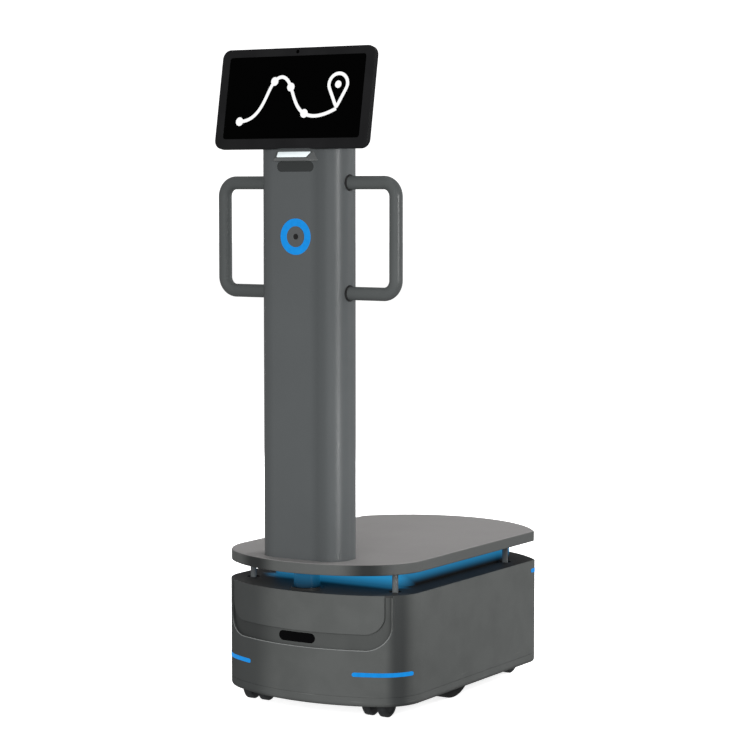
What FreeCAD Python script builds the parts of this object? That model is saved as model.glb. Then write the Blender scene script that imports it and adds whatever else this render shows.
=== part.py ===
import FreeCAD, Part
import math
import os
import Sketcher

# Indoor delivery robot, in millimetres.
# The front faces -Y, the floor is z = 0 and the origin is under the middle of the robot.

doc = FreeCAD.newDocument("delivery_robot")
dims = doc.addObject("Spreadsheet::Sheet", "dims")

# Sizes: name, value and what it sets
SIZES = [
    ("fit_gap", 0.3, "clearance between seated pieces"),
    ("run_gap", 0.05, "radial clearance of shafts in their bores"),
    ("base_width", 434, "base shell, side to side"),
    ("base_front", 335.5, "middle to the front of the base"),
    ("base_rear", 344, "middle to the rear of the base"),
    ("base_front_radius", 378, "front arc of the base"),
    ("base_corner_radius", 88, "front corners of the base"),
    ("base_rear_radius", 300, "rear arc of the base"),
    ("base_rear_corner", 18, "rear corners of the base"),
    ("base_top", 246, "floor to the top of the base"),
    ("skirt_clearance", 27, "floor to the lower edge of the shell"),
    ("skirt_round", 9, "rounding of the shell's lower edge"),
    ("seam_z", 47, "floor to the skirt's seam"),
    ("seam_height", 1, "skirt's seam"),
    ("seam_depth", 0.8, "skirt's seam"),
    ("shell_wall", 5, "wall of the shell"),
    ("sill_width", 6, "ledge inside the shell that carries the chassis plate"),
    ("chassis_height", 72, "floor to the underside of the chassis plate"),
    ("chassis_thickness", 4, "chassis plate"),
    ("lid_thickness", 3, "dark lid of the base"),
    ("lid_rim", 2.5, "rim of the shell left around the lid"),
    ("recess_inset", 28, "front recess from the side of the base"),
    ("recess_low", 138.5, "floor to the lower edge of the recess"),
    ("recess_corner", 46, "lower corners of the recess"),
    ("recess_round", 2.2, "rounded lip of the recess"),
    ("band_lap", 8, "band behind the edge of the recess"),
    ("band_thickness", 3, "recessed band"),
    ("panel_inset", 39, "shield panel from the side of the base"),
    ("panel_low", 169, "floor to the lower edge of the shield panel"),
    ("panel_corner", 36, "lower corners of the shield panel"),
    ("edge_round", 1.5, "small rounding of visible edges"),
    ("window_length", 85, "pill windows of the depth cameras"),
    ("window_height", 20, "pill windows of the depth cameras"),
    ("front_window_z", 155, "floor to the middle of the front window"),
    ("camera_length", 90, "depth camera module"),
    ("camera_height", 25, "depth camera module"),
    ("camera_depth", 22, "depth camera module"),
    ("strip_height", 8.6, "turn-light strips"),
    ("strip_round", 3.9, "rounded ends of the strips"),
    ("strip_proud", 0.6, "how far the strips stand out"),
    ("front_strip_z", 91, "floor to the middle of the front strips"),
    ("front_strip_start", 120, "inner end of the front strips, from the middle"),
    ("front_strip_end", 240, "outer end of the front strips, ahead of the middle"),
    ("rear_strip_z", 225, "floor to the middle of the rear strips"),
    ("rear_strip_start", 232, "front end of the rear strips, behind the middle"),
    ("rear_strip_end", 120, "inner end of the rear strips, from the middle"),
    ("charge_length", 150, "charging plate at the rear"),
    ("charge_height", 44, "charging plate at the rear"),
    ("charge_proud", 1, "how far the charging plate stands out"),
    ("charge_z", 104, "floor to the middle of the charging plate"),
    ("contact_length", 26, "charging contact"),
    ("contact_height", 30, "charging contact"),
    ("contact_spacing", 70, "between the charging contacts' middles"),
    ("contact_proud", 1.2, "how far the contacts stand out of their plate"),
    ("power_z", 176, "floor to the power button"),
    ("power_diameter", 16, "power button"),
    ("power_ring", 24, "outside of the power button's ring"),
    ("power_proud", 3, "how far the power button stands out"),
    ("power_depth", 28, "power button's housing inside the shell"),
    ("power_travel", 2.5, "how far the power button goes in"),
    ("deck_width", 430, "load deck, side to side"),
    ("deck_length", 720, "load deck, front to rear"),
    ("deck_front_radius", 283, "front arc of the deck"),
    ("deck_corner_radius", 128, "front corners of the deck"),
    ("deck_rear_radius", 264, "rear arc of the deck"),
    ("deck_rear_corner", 8, "rear corners of the deck"),
    ("deck_thickness", 22, "load deck"),
    ("deck_round", 2.5, "rounding of the deck's edges"),
    ("lidar_gap", 40, "open height between the lid and the deck"),
    ("core_inset", 53, "neck core from the side of the base"),
    ("core_front", 190, "middle to the front of the neck core"),
    ("core_rear", 262, "middle to the rear of the neck core"),
    ("core_corner", 40, "corners of the neck core"),
    ("core_wall", 4, "wall of the neck core"),
    ("glow_height", 14, "blue light band around the core"),
    ("glow_thickness", 3, "blue light band around the core"),
    ("post_diameter", 12, "deck posts"),
    ("post_hole", 26, "holes in the lid for the deck posts"),
    ("front_post_inset", 48, "front posts from the side of the base"),
    ("front_post_y", 235, "front posts ahead of the middle"),
    ("rear_post_inset", 43, "rear posts from the side of the base"),
    ("rear_post_y", 196, "rear posts behind the middle"),
    ("lidar_inset", 43.5, "scanner's axis behind the front of the base"),
    ("lidar_diameter", 52, "scanner's turning head"),
    ("lidar_head_height", 30, "scanner's turning head"),
    ("lidar_flange", 64, "scanner's fixed flange"),
    ("lidar_flange_height", 4, "scanner's fixed flange"),
    ("lidar_sink", 30, "depth of the scanner's body below the lid's top"),
    ("lidar_shaft", 20, "scanner's shaft"),
    ("column_width", 191, "column, side to side"),
    ("column_depth", 96, "column, front to rear"),
    ("column_corner", 42, "corners of the column"),
    ("column_wall", 4, "wall of the column"),
    ("column_inset", 79, "column's middle behind the front of the deck"),
    ("column_top", 1112, "floor to the top of the column"),
    ("column_seat", 3, "depth of the deck's recess for the column"),
    ("foot_height", 30, "foot block inside the column"),
    ("cap_plug", 10, "depth of the cap inside the column"),
    ("cap_thickness", 3, "top of the cap"),
    ("ring_drop", 175, "middle of the ring light below the column's top"),
    ("ring_outer", 70, "ring light"),
    ("ring_inner", 41, "ring light"),
    ("ring_proud", 0.8, "how far the ring light stands out"),
    ("ring_depth", 9, "depth of the ring light behind the column's face"),
    ("cup_diameter", 84, "cup behind the ring light"),
    ("cup_depth", 22, "cup behind the ring light"),
    ("button_travel", 3, "how far the round button goes in"),
    ("button_thickness", 8, "round button's disc"),
    ("button_stem", 14, "round button's stem"),
    ("dimple_diameter", 15, "finger dimple of the round button"),
    ("dimple_depth", 3, "finger dimple of the round button"),
    ("hood_width", 106, "camera hood on the column"),
    ("brow_drop", 24, "hood's front edge below the column's top"),
    ("brow_height", 5.4, "front edge of the hood"),
    ("hood_taper", 12, "how much narrower the hood's front edge is, each side"),
    ("hood_slant", 11, "how much narrower the hood's upper edge is, each side"),
    ("hood_drop", 10, "hood's upper rear edge below the column's top"),
    ("hood_depth", 16, "how far the hood stands out of the column"),
    ("hood_window_drop", 40, "middle of the hood's window below the column's top"),
    ("window_recess", 0.8, "pill windows behind the face around them"),
    ("handle_tube", 26, "handle tube"),
    ("handle_wall", 2, "wall of the handle tube"),
    ("handle_x", 200, "handle's upright from the middle"),
    ("handle_span", 213, "between the handle's arms"),
    ("handle_drop", 71, "handle's upper arm below the column's top"),
    ("handle_bend", 27, "bend radius of the handle, at the tube's middle"),
    ("handle_ahead", 2, "handles ahead of the column's middle"),
    ("handle_sink", 24, "depth of the handle's ends inside the column"),
    ("grommet_diameter", 32, "dark grommets around the handle's ends"),
    ("grommet_proud", 1.2, "how far the grommets stand out"),
    ("anchor_thickness", 6, "plates inside the column that hold the handles"),
    ("anchor_width", 40, "plates inside the column that hold the handles"),
    ("anchor_margin", 25, "anchor plate beyond the handle's arms"),
    ("display_width", 354, "display"),
    ("display_height", 196.4, "display, along its slope"),
    ("display_corner", 18, "corners of the display"),
    ("display_rim", 14, "thickness of the display at its edge"),
    ("display_round", 3, "rounded rear edge of the display"),
    ("frame_depth", 6, "front frame of the display"),
    ("glass_recess", 0.8, "glass panel behind the face of the frame"),
    ("bezel_side", 19, "width of the frame at the sides"),
    ("bezel_top", 16, "width of the frame at the top"),
    ("bezel_low", 19, "width of the frame at the bottom"),
    ("display_bulge", 20, "how far the rear shell stands out behind its edge"),
    ("bulge_width", 230, "top of the rear shell's bulge"),
    ("bulge_height", 110, "top of the rear shell's bulge"),
    ("bulge_margin", 14, "flat edge around the foot of the bulge"),
    ("bulge_corner", 6, "corners of the bulge"),
    ("display_lean_angle", 10, "lean of the display, in degrees"),
    ("display_ahead", 71, "display's lower front edge ahead of the column's middle"),
    ("display_drop", 5.2, "display's lower front edge below the column's top"),
    ("display_camera", 7, "small camera in the top of the frame"),
    ("hinge_behind", 4, "tilt axis behind the column's middle"),
    ("hinge_rise", 46, "tilt axis above the column's top"),
    ("hinge_pin", 10, "tilt pin"),
    ("hinge_boss", 28, "outside of the tilt hinge's ears"),
    ("ear_thickness", 7, "ears of the tilt bracket"),
    ("ear_spacing", 60, "between the ears of the tilt bracket"),
    ("bracket_foot", 5, "foot plate of the tilt bracket"),
    ("bracket_depth", 56, "foot plate of the tilt bracket, front to rear"),
    ("wheel_radius", 75, "drive wheel"),
    ("tyre_width", 44, "drive wheel"),
    ("tyre_thickness", 16, "drive wheel's tyre"),
    ("tyre_round", 9, "shoulder of the tyre"),
    ("tread_spacing", 8, "between the tyre's grooves"),
    ("tread_width", 2.5, "tyre's grooves"),
    ("tread_depth", 2.5, "tyre's grooves"),
    ("wheel_inset", 29, "outer face of the tyre from the side of the base"),
    ("wheel_y", 32, "drive axle ahead of the middle"),
    ("axle_diameter", 16, "drive axle"),
    ("axle_collar", 30, "collar of the drive axle"),
    ("arm_thickness", 12, "suspension arm"),
    ("arm_gap", 14, "between the suspension arm and the tyre"),
    ("arm_boss", 34, "suspension arm around the axle"),
    ("pivot_boss", 26, "suspension arm around its pivot"),
    ("ear_gap", 3, "between the suspension arm and the outer ear"),
    ("pivot_rear", 70, "suspension pivot behind the middle"),
    ("pivot_z", 94, "floor to the suspension pivot"),
    ("pivot_pin", 12, "suspension pivot pin"),
    ("seat_height", 26, "suspension arm's seat above the axle"),
    ("seat_diameter", 26, "seat of the rubber buffer"),
    ("buffer_diameter", 24, "rubber buffer"),
    ("buffer_waist", 18, "rubber buffer, at its middle"),
    ("buffer_height", 48, "rubber buffer"),
    ("bracket_plate", 6, "suspension bracket's plates"),
    ("bracket_gap", 10, "between the suspension bracket and the arm"),
    ("bracket_flange", 26, "suspension bracket's foot"),
    ("well_margin", 9, "opening in the chassis plate around the wheel"),
    ("caster_inset", 75, "casters from the side of the base"),
    ("front_caster_y", 232, "front casters' swivel axis ahead of the middle"),
    ("rear_caster_y", 220, "rear casters' swivel axis behind the middle"),
    ("caster_radius", 25, "caster wheel"),
    ("caster_wheel_width", 18, "caster wheel"),
    ("caster_web", 15, "caster fork between its wheels"),
    ("caster_trail", 19, "caster wheel's axis from the swivel axis"),
    ("caster_axle", 8, "caster axle"),
    ("caster_disc", 40, "top of the caster fork"),
    ("caster_disc_height", 7, "top of the caster fork"),
    ("caster_stem", 12, "swivel stem of the caster"),
    ("mount_width", 62, "caster's mount plate"),
    ("mount_thickness", 4, "caster's mount plate"),
    ("mount_hub", 44, "swivel bearing under the mount plate"),
    ("mount_hub_height", 5, "swivel bearing under the mount plate"),
    ("battery_gap", 11, "between the battery and the suspension brackets"),
    ("battery_length", 200, "battery"),
    ("battery_height", 100, "battery"),
    ("battery_y", 90, "battery's middle behind the robot's middle"),
    ("control_width", 130, "controller box"),
    ("control_length", 110, "controller box"),
    ("control_height", 55, "controller box"),
    ("control_y", 110, "controller box ahead of the robot's middle"),
    ("box_corner", 7, "corners of the battery and the controller"),
]
for line, (name, value, note) in enumerate(SIZES, start=1):
    dims.set(f"A{line}", name)
    dims.set(f"B{line}", str(value))
    dims.setAlias(f"B{line}", name)
    dims.set(f"C{line}", note)
doc.recompute()


class Size:
    """A length that knows its value now and the sheet formula that it comes from."""

    def __init__(self, value, text):
        self.value = float(value)
        self.text = text

    def __add__(self, other):
        other = as_size(other)
        return Size(self.value + other.value, f"({self.text} + {other.text})")

    def __sub__(self, other):
        other = as_size(other)
        return Size(self.value - other.value, f"({self.text} - {other.text})")

    def __mul__(self, other):
        other = as_size(other)
        return Size(self.value * other.value, f"({self.text} * {other.text})")

    def __truediv__(self, other):
        other = as_size(other)
        return Size(self.value / other.value, f"({self.text} / {other.text})")

    def __neg__(self):
        return Size(-self.value, f"(0 - {self.text})")

    def __rsub__(self, other):
        return as_size(other) - self

    __radd__ = __add__
    __rmul__ = __mul__


def as_size(item):
    return item if isinstance(item, Size) else Size(item, repr(float(item)))


def sine(angle):
    return Size(math.sin(math.radians(angle.value)), f"sin({angle.text})")


def cosine(angle):
    return Size(math.cos(math.radians(angle.value)), f"cos({angle.text})")


class Sheet:
    """The named sizes, read back from the sheet."""


S = Sheet()
for name, value, note in SIZES:
    setattr(S, name, Size(float(dims.get(name)), f"dims.{name}"))

# Heights and places that several pieces share
sill_inset = S.shell_wall + S.sill_width
chassis_top = S.chassis_height + S.chassis_thickness
lid_low = S.base_top - S.lid_thickness
lidar_y = S.base_front - S.lidar_inset
deck_low = S.base_top + S.lidar_gap
deck_top = deck_low + S.deck_thickness
column_low = deck_top - S.column_seat
column_y = S.deck_length / 2 - S.column_inset
column_face = column_y + S.column_depth / 2
column_inside = column_face - S.column_wall
handle_y = column_y + S.handle_ahead
handle_end = S.column_width / 2 - S.handle_sink
cap_top = S.column_top + S.cap_thickness
ring_z = S.column_top - S.ring_drop
hood_window_z = S.column_top - S.hood_window_drop
hood_brow = S.column_top - S.brow_drop
hood_high = S.column_top - S.hood_drop
handle_high = S.column_top - S.handle_drop
handle_low = handle_high - S.handle_span
display_low = S.column_top - S.display_drop
hinge_z = S.column_top + S.hinge_rise
display_front = column_y + S.display_ahead
hinge_y = column_y - S.hinge_behind
recess_half = S.base_width / 2 - S.recess_inset
panel_half = S.base_width / 2 - S.panel_inset
core_half = S.base_width / 2 - S.core_inset
front_post_x = S.base_width / 2 - S.front_post_inset
rear_post_x = S.base_width / 2 - S.rear_post_inset
caster_x = S.base_width / 2 - S.caster_inset
wheel_outer = S.base_width / 2 - S.wheel_inset
tyre_inner = wheel_outer - S.tyre_width
arm_outer = tyre_inner - S.arm_gap
arm_inner = arm_outer - S.arm_thickness
bracket_outer = arm_inner - S.bracket_gap
bracket_inner = bracket_outer - S.bracket_plate
battery_width = (bracket_inner - S.bracket_flange - S.battery_gap) * 2
rim_radius = S.wheel_radius - S.tyre_thickness
buffer_low = S.wheel_radius + S.seat_height
buffer_high = buffer_low + S.buffer_height
mount_low = S.chassis_height - S.mount_thickness - S.mount_hub_height

BASE_PLAN = (
    S.base_width / 2,
    S.base_front,
    S.base_front_radius,
    S.base_corner_radius,
    S.base_rear,
    S.base_rear_radius,
    S.base_rear_corner,
)
DECK_PLAN = (
    S.deck_width / 2,
    S.deck_length / 2,
    S.deck_front_radius,
    S.deck_corner_radius,
    S.deck_length / 2,
    S.deck_rear_radius,
    S.deck_rear_corner,
)

NODES = []


def inset(plan, depth):
    """The same outline, moved inwards by a depth."""
    return tuple(size - depth for size in plan)


def bind(item, prop, size):
    item.setExpression(prop, as_size(size).text)


def vec(x, y, z=0.0):
    return FreeCAD.Vector(x, y, z)


def keep(item):
    """List a document object as a piece of its own."""
    NODES.append(item)
    return item


def new_body(label):
    body = doc.addObject("PartDesign::Body", label)
    body.Label = label
    return body


def new_sketch(body, name, role, offset=0.0):
    """A sketch on one of the body's own planes, moved along the plane's normal."""
    sketch = body.newObject("Sketcher::SketchObject", f"{body.Name}_{name}")
    plane = [item for item in body.Origin.OriginFeatures if item.Role == role]
    sketch.AttachmentSupport = (plane[0], [""])
    sketch.MapMode = "FlatFace"
    bind(sketch, "AttachmentOffset.Base.z", offset)
    return sketch


def hold(sketch, kind, places, size):
    """Add a constraint whose value follows the sheet."""
    size = as_size(size)
    index = sketch.addConstraint(Sketcher.Constraint(kind, *places, size.value))
    sketch.setExpression(f"Constraints[{index}]", size.text)


def pin_point(sketch, line, end, x, y):
    """Place one end of a line, or the middle of a circle, from the sketch's origin."""
    hold(sketch, "DistanceX", (-1, 1, line, end), x)
    hold(sketch, "DistanceY", (-1, 1, line, end), y)


def add_polygon(sketch, points):
    """A closed run of straight lines through points given as sizes."""
    points = [(as_size(x), as_size(y)) for x, y in points]
    first = sketch.GeometryCount
    count = len(points)
    for i in range(count):
        a = points[i]
        b = points[(i + 1) % count]
        sketch.addGeometry(Part.LineSegment(vec(a[0].value, a[1].value), vec(b[0].value, b[1].value)))
    for i in range(count):
        following = first + (i + 1) % count
        sketch.addConstraint(Sketcher.Constraint("Coincident", first + i, 2, following, 1))
    for i in range(count):
        pin_point(sketch, first + i, 1, points[i][0], points[i][1])


def add_box(sketch, left, right, low, high):
    add_polygon(sketch, [(left, low), (right, low), (right, high), (left, high)])


def add_circle(sketch, x, y, radius):
    x, y, radius = as_size(x), as_size(y), as_size(radius)
    circle = Part.Circle(vec(x.value, y.value), vec(0, 0, 1), radius.value)
    index = sketch.addGeometry(circle)
    pin_point(sketch, index, 3, x, y)
    hold(sketch, "Radius", (index,), radius)


def add_arc(sketch, x, y, radius, start, end):
    circle = Part.Circle(vec(x, y), vec(0, 0, 1), radius)
    return sketch.addGeometry(Part.ArcOfCircle(circle, start, end))


def close_smoothly(sketch, first, count):
    for i in range(count):
        following = first + (i + 1) % count
        sketch.addConstraint(Sketcher.Constraint("Tangent", first + i, 2, following, 1))


def add_rounded(sketch, left, right, low, high, corner):
    """A rectangle with four equal round corners."""
    left, right, low, high, corner = map(as_size, (left, right, low, high, corner))
    x0, x1, y0, y1, r = left.value, right.value, low.value, high.value, corner.value
    first = sketch.GeometryCount
    turn = math.pi / 2
    sketch.addGeometry(Part.LineSegment(vec(x0 + r, y0), vec(x1 - r, y0)))
    add_arc(sketch, x1 - r, y0 + r, r, -turn, 0)
    sketch.addGeometry(Part.LineSegment(vec(x1, y0 + r), vec(x1, y1 - r)))
    add_arc(sketch, x1 - r, y1 - r, r, 0, turn)
    sketch.addGeometry(Part.LineSegment(vec(x1 - r, y1), vec(x0 + r, y1)))
    add_arc(sketch, x0 + r, y1 - r, r, turn, 2 * turn)
    sketch.addGeometry(Part.LineSegment(vec(x0, y1 - r), vec(x0, y0 + r)))
    add_arc(sketch, x0 + r, y0 + r, r, 2 * turn, 3 * turn)
    close_smoothly(sketch, first, 8)
    for i in (0, 4):
        sketch.addConstraint(Sketcher.Constraint("Horizontal", first + i))
    for i in (2, 6):
        sketch.addConstraint(Sketcher.Constraint("Vertical", first + i))
    for i in (3, 5, 7):
        sketch.addConstraint(Sketcher.Constraint("Equal", first + 1, first + i))
    hold(sketch, "Radius", (first + 1,), corner)
    hold(sketch, "DistanceY", (-1, 1, first, 1), low)
    hold(sketch, "DistanceX", (-1, 1, first + 2, 1), right)
    hold(sketch, "DistanceY", (-1, 1, first + 4, 1), high)
    hold(sketch, "DistanceX", (-1, 1, first + 6, 1), left)


def add_pill(sketch, x, y, length, height):
    """A slot with full round ends, its long side along the sketch's first axis."""
    x, y, length, height = map(as_size, (x, y, length, height))
    r = height.value / 2
    reach = length.value / 2 - r
    first = sketch.GeometryCount
    turn = math.pi / 2
    sketch.addGeometry(Part.LineSegment(vec(x.value - reach, y.value - r), vec(x.value + reach, y.value - r)))
    add_arc(sketch, x.value + reach, y.value, r, -turn, turn)
    sketch.addGeometry(Part.LineSegment(vec(x.value + reach, y.value + r), vec(x.value - reach, y.value + r)))
    add_arc(sketch, x.value - reach, y.value, r, turn, 3 * turn)
    close_smoothly(sketch, first, 4)
    sketch.addConstraint(Sketcher.Constraint("Horizontal", first))
    hold(sketch, "Radius", (first + 1,), height / 2)
    pin_point(sketch, first + 1, 3, x + length / 2 - height / 2, y)
    hold(sketch, "DistanceX", (-1, 1, first + 3, 3), x - length / 2 + height / 2)


def add_plan(sketch, plan):
    """The base's and the deck's outline: an arc in front, straight sides and an arc behind."""
    half, front, front_r, corner_r, rear, rear_r, rear_corner = plan
    first = sketch.GeometryCount
    front_y = front_r.value - front.value
    corner_x = half.value - corner_r.value
    corner_y = front_y - math.sqrt((front_r.value - corner_r.value) ** 2 - corner_x ** 2)
    lean = math.atan2(corner_y - front_y, corner_x)
    rear_y = rear.value - rear_r.value
    rear_x = half.value - rear_corner.value
    rear_corner_y = rear_y + math.sqrt((rear_r.value - rear_corner.value) ** 2 - rear_x ** 2)
    back = math.atan2(rear_corner_y - rear_y, rear_x)
    side = half.value
    add_arc(sketch, 0, front_y, front_r.value, -math.pi - lean, lean)
    add_arc(sketch, corner_x, corner_y, corner_r.value, lean, 0)
    sketch.addGeometry(Part.LineSegment(vec(side, corner_y), vec(side, rear_corner_y)))
    add_arc(sketch, rear_x, rear_corner_y, rear_corner.value, 0, back)
    add_arc(sketch, 0, rear_y, rear_r.value, back, math.pi - back)
    add_arc(sketch, -rear_x, rear_corner_y, rear_corner.value, math.pi - back, math.pi)
    sketch.addGeometry(Part.LineSegment(vec(-side, rear_corner_y), vec(-side, corner_y)))
    add_arc(sketch, -corner_x, corner_y, corner_r.value, math.pi, math.pi - lean)
    close_smoothly(sketch, first, 8)
    for i in (2, 6):
        sketch.addConstraint(Sketcher.Constraint("Vertical", first + i))
    for i in (0, 4):
        sketch.addConstraint(Sketcher.Constraint("PointOnObject", first + i, 3, -2))
    sketch.addConstraint(Sketcher.Constraint("Equal", first + 1, first + 7))
    sketch.addConstraint(Sketcher.Constraint("Equal", first + 3, first + 5))
    hold(sketch, "Radius", (first,), front_r)
    hold(sketch, "Radius", (first + 1,), corner_r)
    hold(sketch, "Radius", (first + 3,), rear_corner)
    hold(sketch, "Radius", (first + 4,), rear_r)
    hold(sketch, "DistanceX", (-1, 1, first + 2, 1), half)
    hold(sketch, "DistanceX", (-1, 1, first + 6, 1), -half)
    hold(sketch, "DistanceY", (-1, 1, first, 3), front_r - front)
    hold(sketch, "DistanceY", (-1, 1, first + 4, 3), rear - rear_r)


def add_shield(sketch, half, low, high, corner):
    """The front recess and its panel: open above, round lower corners."""
    half, low, high, corner = map(as_size, (half, low, high, corner))
    w, y0, y1, r = half.value, low.value, high.value, corner.value
    first = sketch.GeometryCount
    turn = math.pi / 2
    sketch.addGeometry(Part.LineSegment(vec(-w + r, y0), vec(w - r, y0)))
    add_arc(sketch, w - r, y0 + r, r, -turn, 0)
    sketch.addGeometry(Part.LineSegment(vec(w, y0 + r), vec(w, y1)))
    sketch.addGeometry(Part.LineSegment(vec(w, y1), vec(-w, y1)))
    sketch.addGeometry(Part.LineSegment(vec(-w, y1), vec(-w, y0 + r)))
    add_arc(sketch, -w + r, y0 + r, r, 2 * turn, 3 * turn)
    for a, b in ((0, 1), (1, 2), (4, 5), (5, 0)):
        sketch.addConstraint(Sketcher.Constraint("Tangent", first + a, 2, first + b, 1))
    for a, b in ((2, 3), (3, 4)):
        sketch.addConstraint(Sketcher.Constraint("Coincident", first + a, 2, first + b, 1))
    for i in (0, 3):
        sketch.addConstraint(Sketcher.Constraint("Horizontal", first + i))
    for i in (2, 4):
        sketch.addConstraint(Sketcher.Constraint("Vertical", first + i))
    sketch.addConstraint(Sketcher.Constraint("Equal", first + 1, first + 5))
    hold(sketch, "Radius", (first + 1,), corner)
    hold(sketch, "DistanceY", (-1, 1, first, 1), low)
    hold(sketch, "DistanceY", (-1, 1, first + 3, 1), high)
    hold(sketch, "DistanceX", (-1, 1, first + 2, 1), half)
    hold(sketch, "DistanceX", (-1, 1, first + 4, 1), -half)


def add_feature(body, kind, sketch, length=None, back=False, through=False):
    """A pad or a pocket of a sketch, one way from its plane."""
    feature = body.newObject(f"PartDesign::{kind}", f"{sketch.Name}_{kind}")
    feature.Profile = sketch
    if through:
        feature.Type = "ThroughAll"
    else:
        bind(feature, "Length", length)
    feature.Reversed = back
    body.Tip = feature
    doc.recompute()
    return feature


def pad(body, sketch, length, back=False):
    return add_feature(body, "Pad", sketch, length, back)


def pocket(body, sketch, length=None, back=False):
    return add_feature(body, "Pocket", sketch, length, back, through=length is None)


def round_edges(body, radius, chosen, name):
    """Round the edges of the body so far that a test picks."""
    last = body.Tip
    names = [f"Edge{i}" for i, edge in enumerate(last.Shape.Edges, start=1) if chosen(edge)]
    fillet = body.newObject("PartDesign::Fillet", f"{body.Name}_{name}")
    fillet.Base = (last, names)
    bind(fillet, "Radius", radius)
    body.Tip = fillet
    doc.recompute()
    return fillet


def flat_at(axis, place):
    """A test for edges that lie in a plane across an axis."""
    where = as_size(place).value

    def chosen(edge):
        box = edge.BoundBox
        low, high = {"x": (box.XMin, box.XMax), "y": (box.YMin, box.YMax), "z": (box.ZMin, box.ZMax)}[axis]
        return abs(low - where) < 1e-4 and abs(high - where) < 1e-4

    return chosen


def strip_ends(low, high, x, y):
    """A test for the edges across the wall at the two ends of a strip or its slot."""

    def chosen(edge):
        level = flat_at("z", low)(edge) or flat_at("z", high)(edge)
        return level and (flat_at("x", x)(edge) or flat_at("x", -x)(edge) or flat_at("y", y)(edge))

    return chosen


def on_front_skin(point, depth=0.0):
    """Whether a point lies on the base's outline ahead of the straight sides, at a depth."""
    half, front, front_r, corner_r = [size.value for size in BASE_PLAN[:4]]
    front_y = front_r - front
    corner_x = half - corner_r
    corner_y = front_y - math.sqrt((front_r - corner_r) ** 2 - corner_x ** 2)
    on_front = abs(math.hypot(point.x, point.y - front_y) - front_r + depth) < 1e-3
    on_corner = abs(math.hypot(abs(point.x) - corner_x, point.y - corner_y) - corner_r + depth) < 1e-3
    return point.y < 0 and (on_front or on_corner)


def shield_edge(half, low):
    """A test for the outer edges of the front recess or of its panel, below the rim."""

    def chosen(edge):
        first, last = edge.ParameterRange
        middle = edge.valueAt((first + last) / 2)
        if not on_front_skin(middle) or middle.z > S.base_top.value - 1e-3 or middle.z < low.value - 1e-3:
            return False
        ends = [edge.valueAt(first), edge.valueAt(last)]
        upright = abs(middle.x - ends[0].x) < 1e-6 and abs(abs(middle.x) - half.value) < 1e-3
        below_corner = edge.BoundBox.ZMax < low.value + S.recess_corner.value + 1e-3
        return upright or (below_corner and abs(middle.x) < half.value + 1e-3)

    return chosen


def place(item, x=0.0, y=0.0, z=0.0, axis=None, angle=0.0):
    """Set a piece's place from the sheet, and its turn."""
    turn = FreeCAD.Rotation(vec(*(axis or (0, 0, 1))), angle)
    item.Placement = FreeCAD.Placement(vec(0, 0, 0), turn)
    bind(item, "Placement.Base.x", x)
    bind(item, "Placement.Base.y", y)
    bind(item, "Placement.Base.z", z)
    return item


def turned(label, points):
    """A lathe piece about its own Z axis, from points of radius and height."""
    body = new_body(label)
    sketch = new_sketch(body, "profile", "XZ_Plane")
    add_polygon(sketch, points)
    spin = body.newObject("PartDesign::Revolution", f"{label}_spin")
    spin.Profile = sketch
    spin.ReferenceAxis = (sketch, ["V_Axis"])
    spin.Angle = 360
    body.Tip = spin
    doc.recompute()
    return body


def mirrored(source, label):
    """The same piece on the robot's other side."""
    other = doc.addObject("Part::Mirroring", label)
    other.Label = label
    other.Source = source
    other.Normal = vec(1, 0, 0)
    doc.recompute()
    return other


def group(label, items):
    """Separate solids that share one name."""
    whole = doc.addObject("Part::Compound", label)
    whole.Label = label
    whole.Links = items
    doc.recompute()
    return whole


def skin_piece(label, depths, heights, frame, limit, behind=False):
    """A piece of the base's curved skin between two depths and two heights.

    It keeps what is inside an outline seen from the front, up to a limit along Y.
    """
    outer, inner = depths
    low, high = heights
    wide = S.base_width
    reach = S.base_front * 2
    body = new_body(label)
    ring = new_sketch(body, "ring", "XY_Plane", low)
    add_plan(ring, inset(BASE_PLAN, outer))
    add_plan(ring, inset(BASE_PLAN, inner))
    pad(body, ring, high - low)
    outside = new_sketch(body, "outside", "XZ_Plane", reach)
    add_box(outside, -wide, wide, low - S.base_top, high + S.base_top)
    frame(outside)
    pocket(body, outside)
    half = new_sketch(body, "half", "XY_Plane", low - S.base_top)
    if behind:
        add_box(half, -wide, wide, -reach, limit)
    else:
        add_box(half, -wide, wide, -limit, reach)
    pocket(body, half, S.base_top * 3, back=True)
    return body


# Base shell: a moulded skirt with a thick sill, a rebate for the lid and the front recess
strip_low = S.front_strip_z - S.strip_height / 2
strip_high = S.front_strip_z + S.strip_height / 2
rear_strip_low = S.rear_strip_z - S.strip_height / 2
rear_strip_high = S.rear_strip_z + S.strip_height / 2
power_radius = S.power_ring / 2 - S.edge_round * 1.5
base_shell = keep(new_body("base_shell"))
shell_outline = new_sketch(base_shell, "outline", "XY_Plane", S.skirt_clearance)
add_plan(shell_outline, BASE_PLAN)
pad(base_shell, shell_outline, S.base_top - S.skirt_clearance)
round_edges(base_shell, S.skirt_round, flat_at("z", S.skirt_clearance), "skirt_edge")
shell_seam = new_sketch(base_shell, "seam", "XY_Plane", S.seam_z - S.seam_height / 2)
for depth in (-S.seam_depth, S.seam_depth):
    add_plan(shell_seam, inset(BASE_PLAN, depth))
pocket(base_shell, shell_seam, S.seam_height, back=True)
shell_hollow = new_sketch(base_shell, "hollow", "XY_Plane", S.chassis_height)
add_plan(shell_hollow, inset(BASE_PLAN, S.shell_wall))
pocket(base_shell, shell_hollow, S.base_top, back=True)
shell_sill = new_sketch(base_shell, "sill", "XY_Plane")
add_plan(shell_sill, inset(BASE_PLAN, sill_inset))
pocket(base_shell, shell_sill, S.base_top, back=True)
shell_rebate = new_sketch(base_shell, "rebate", "XY_Plane", lid_low)
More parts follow.
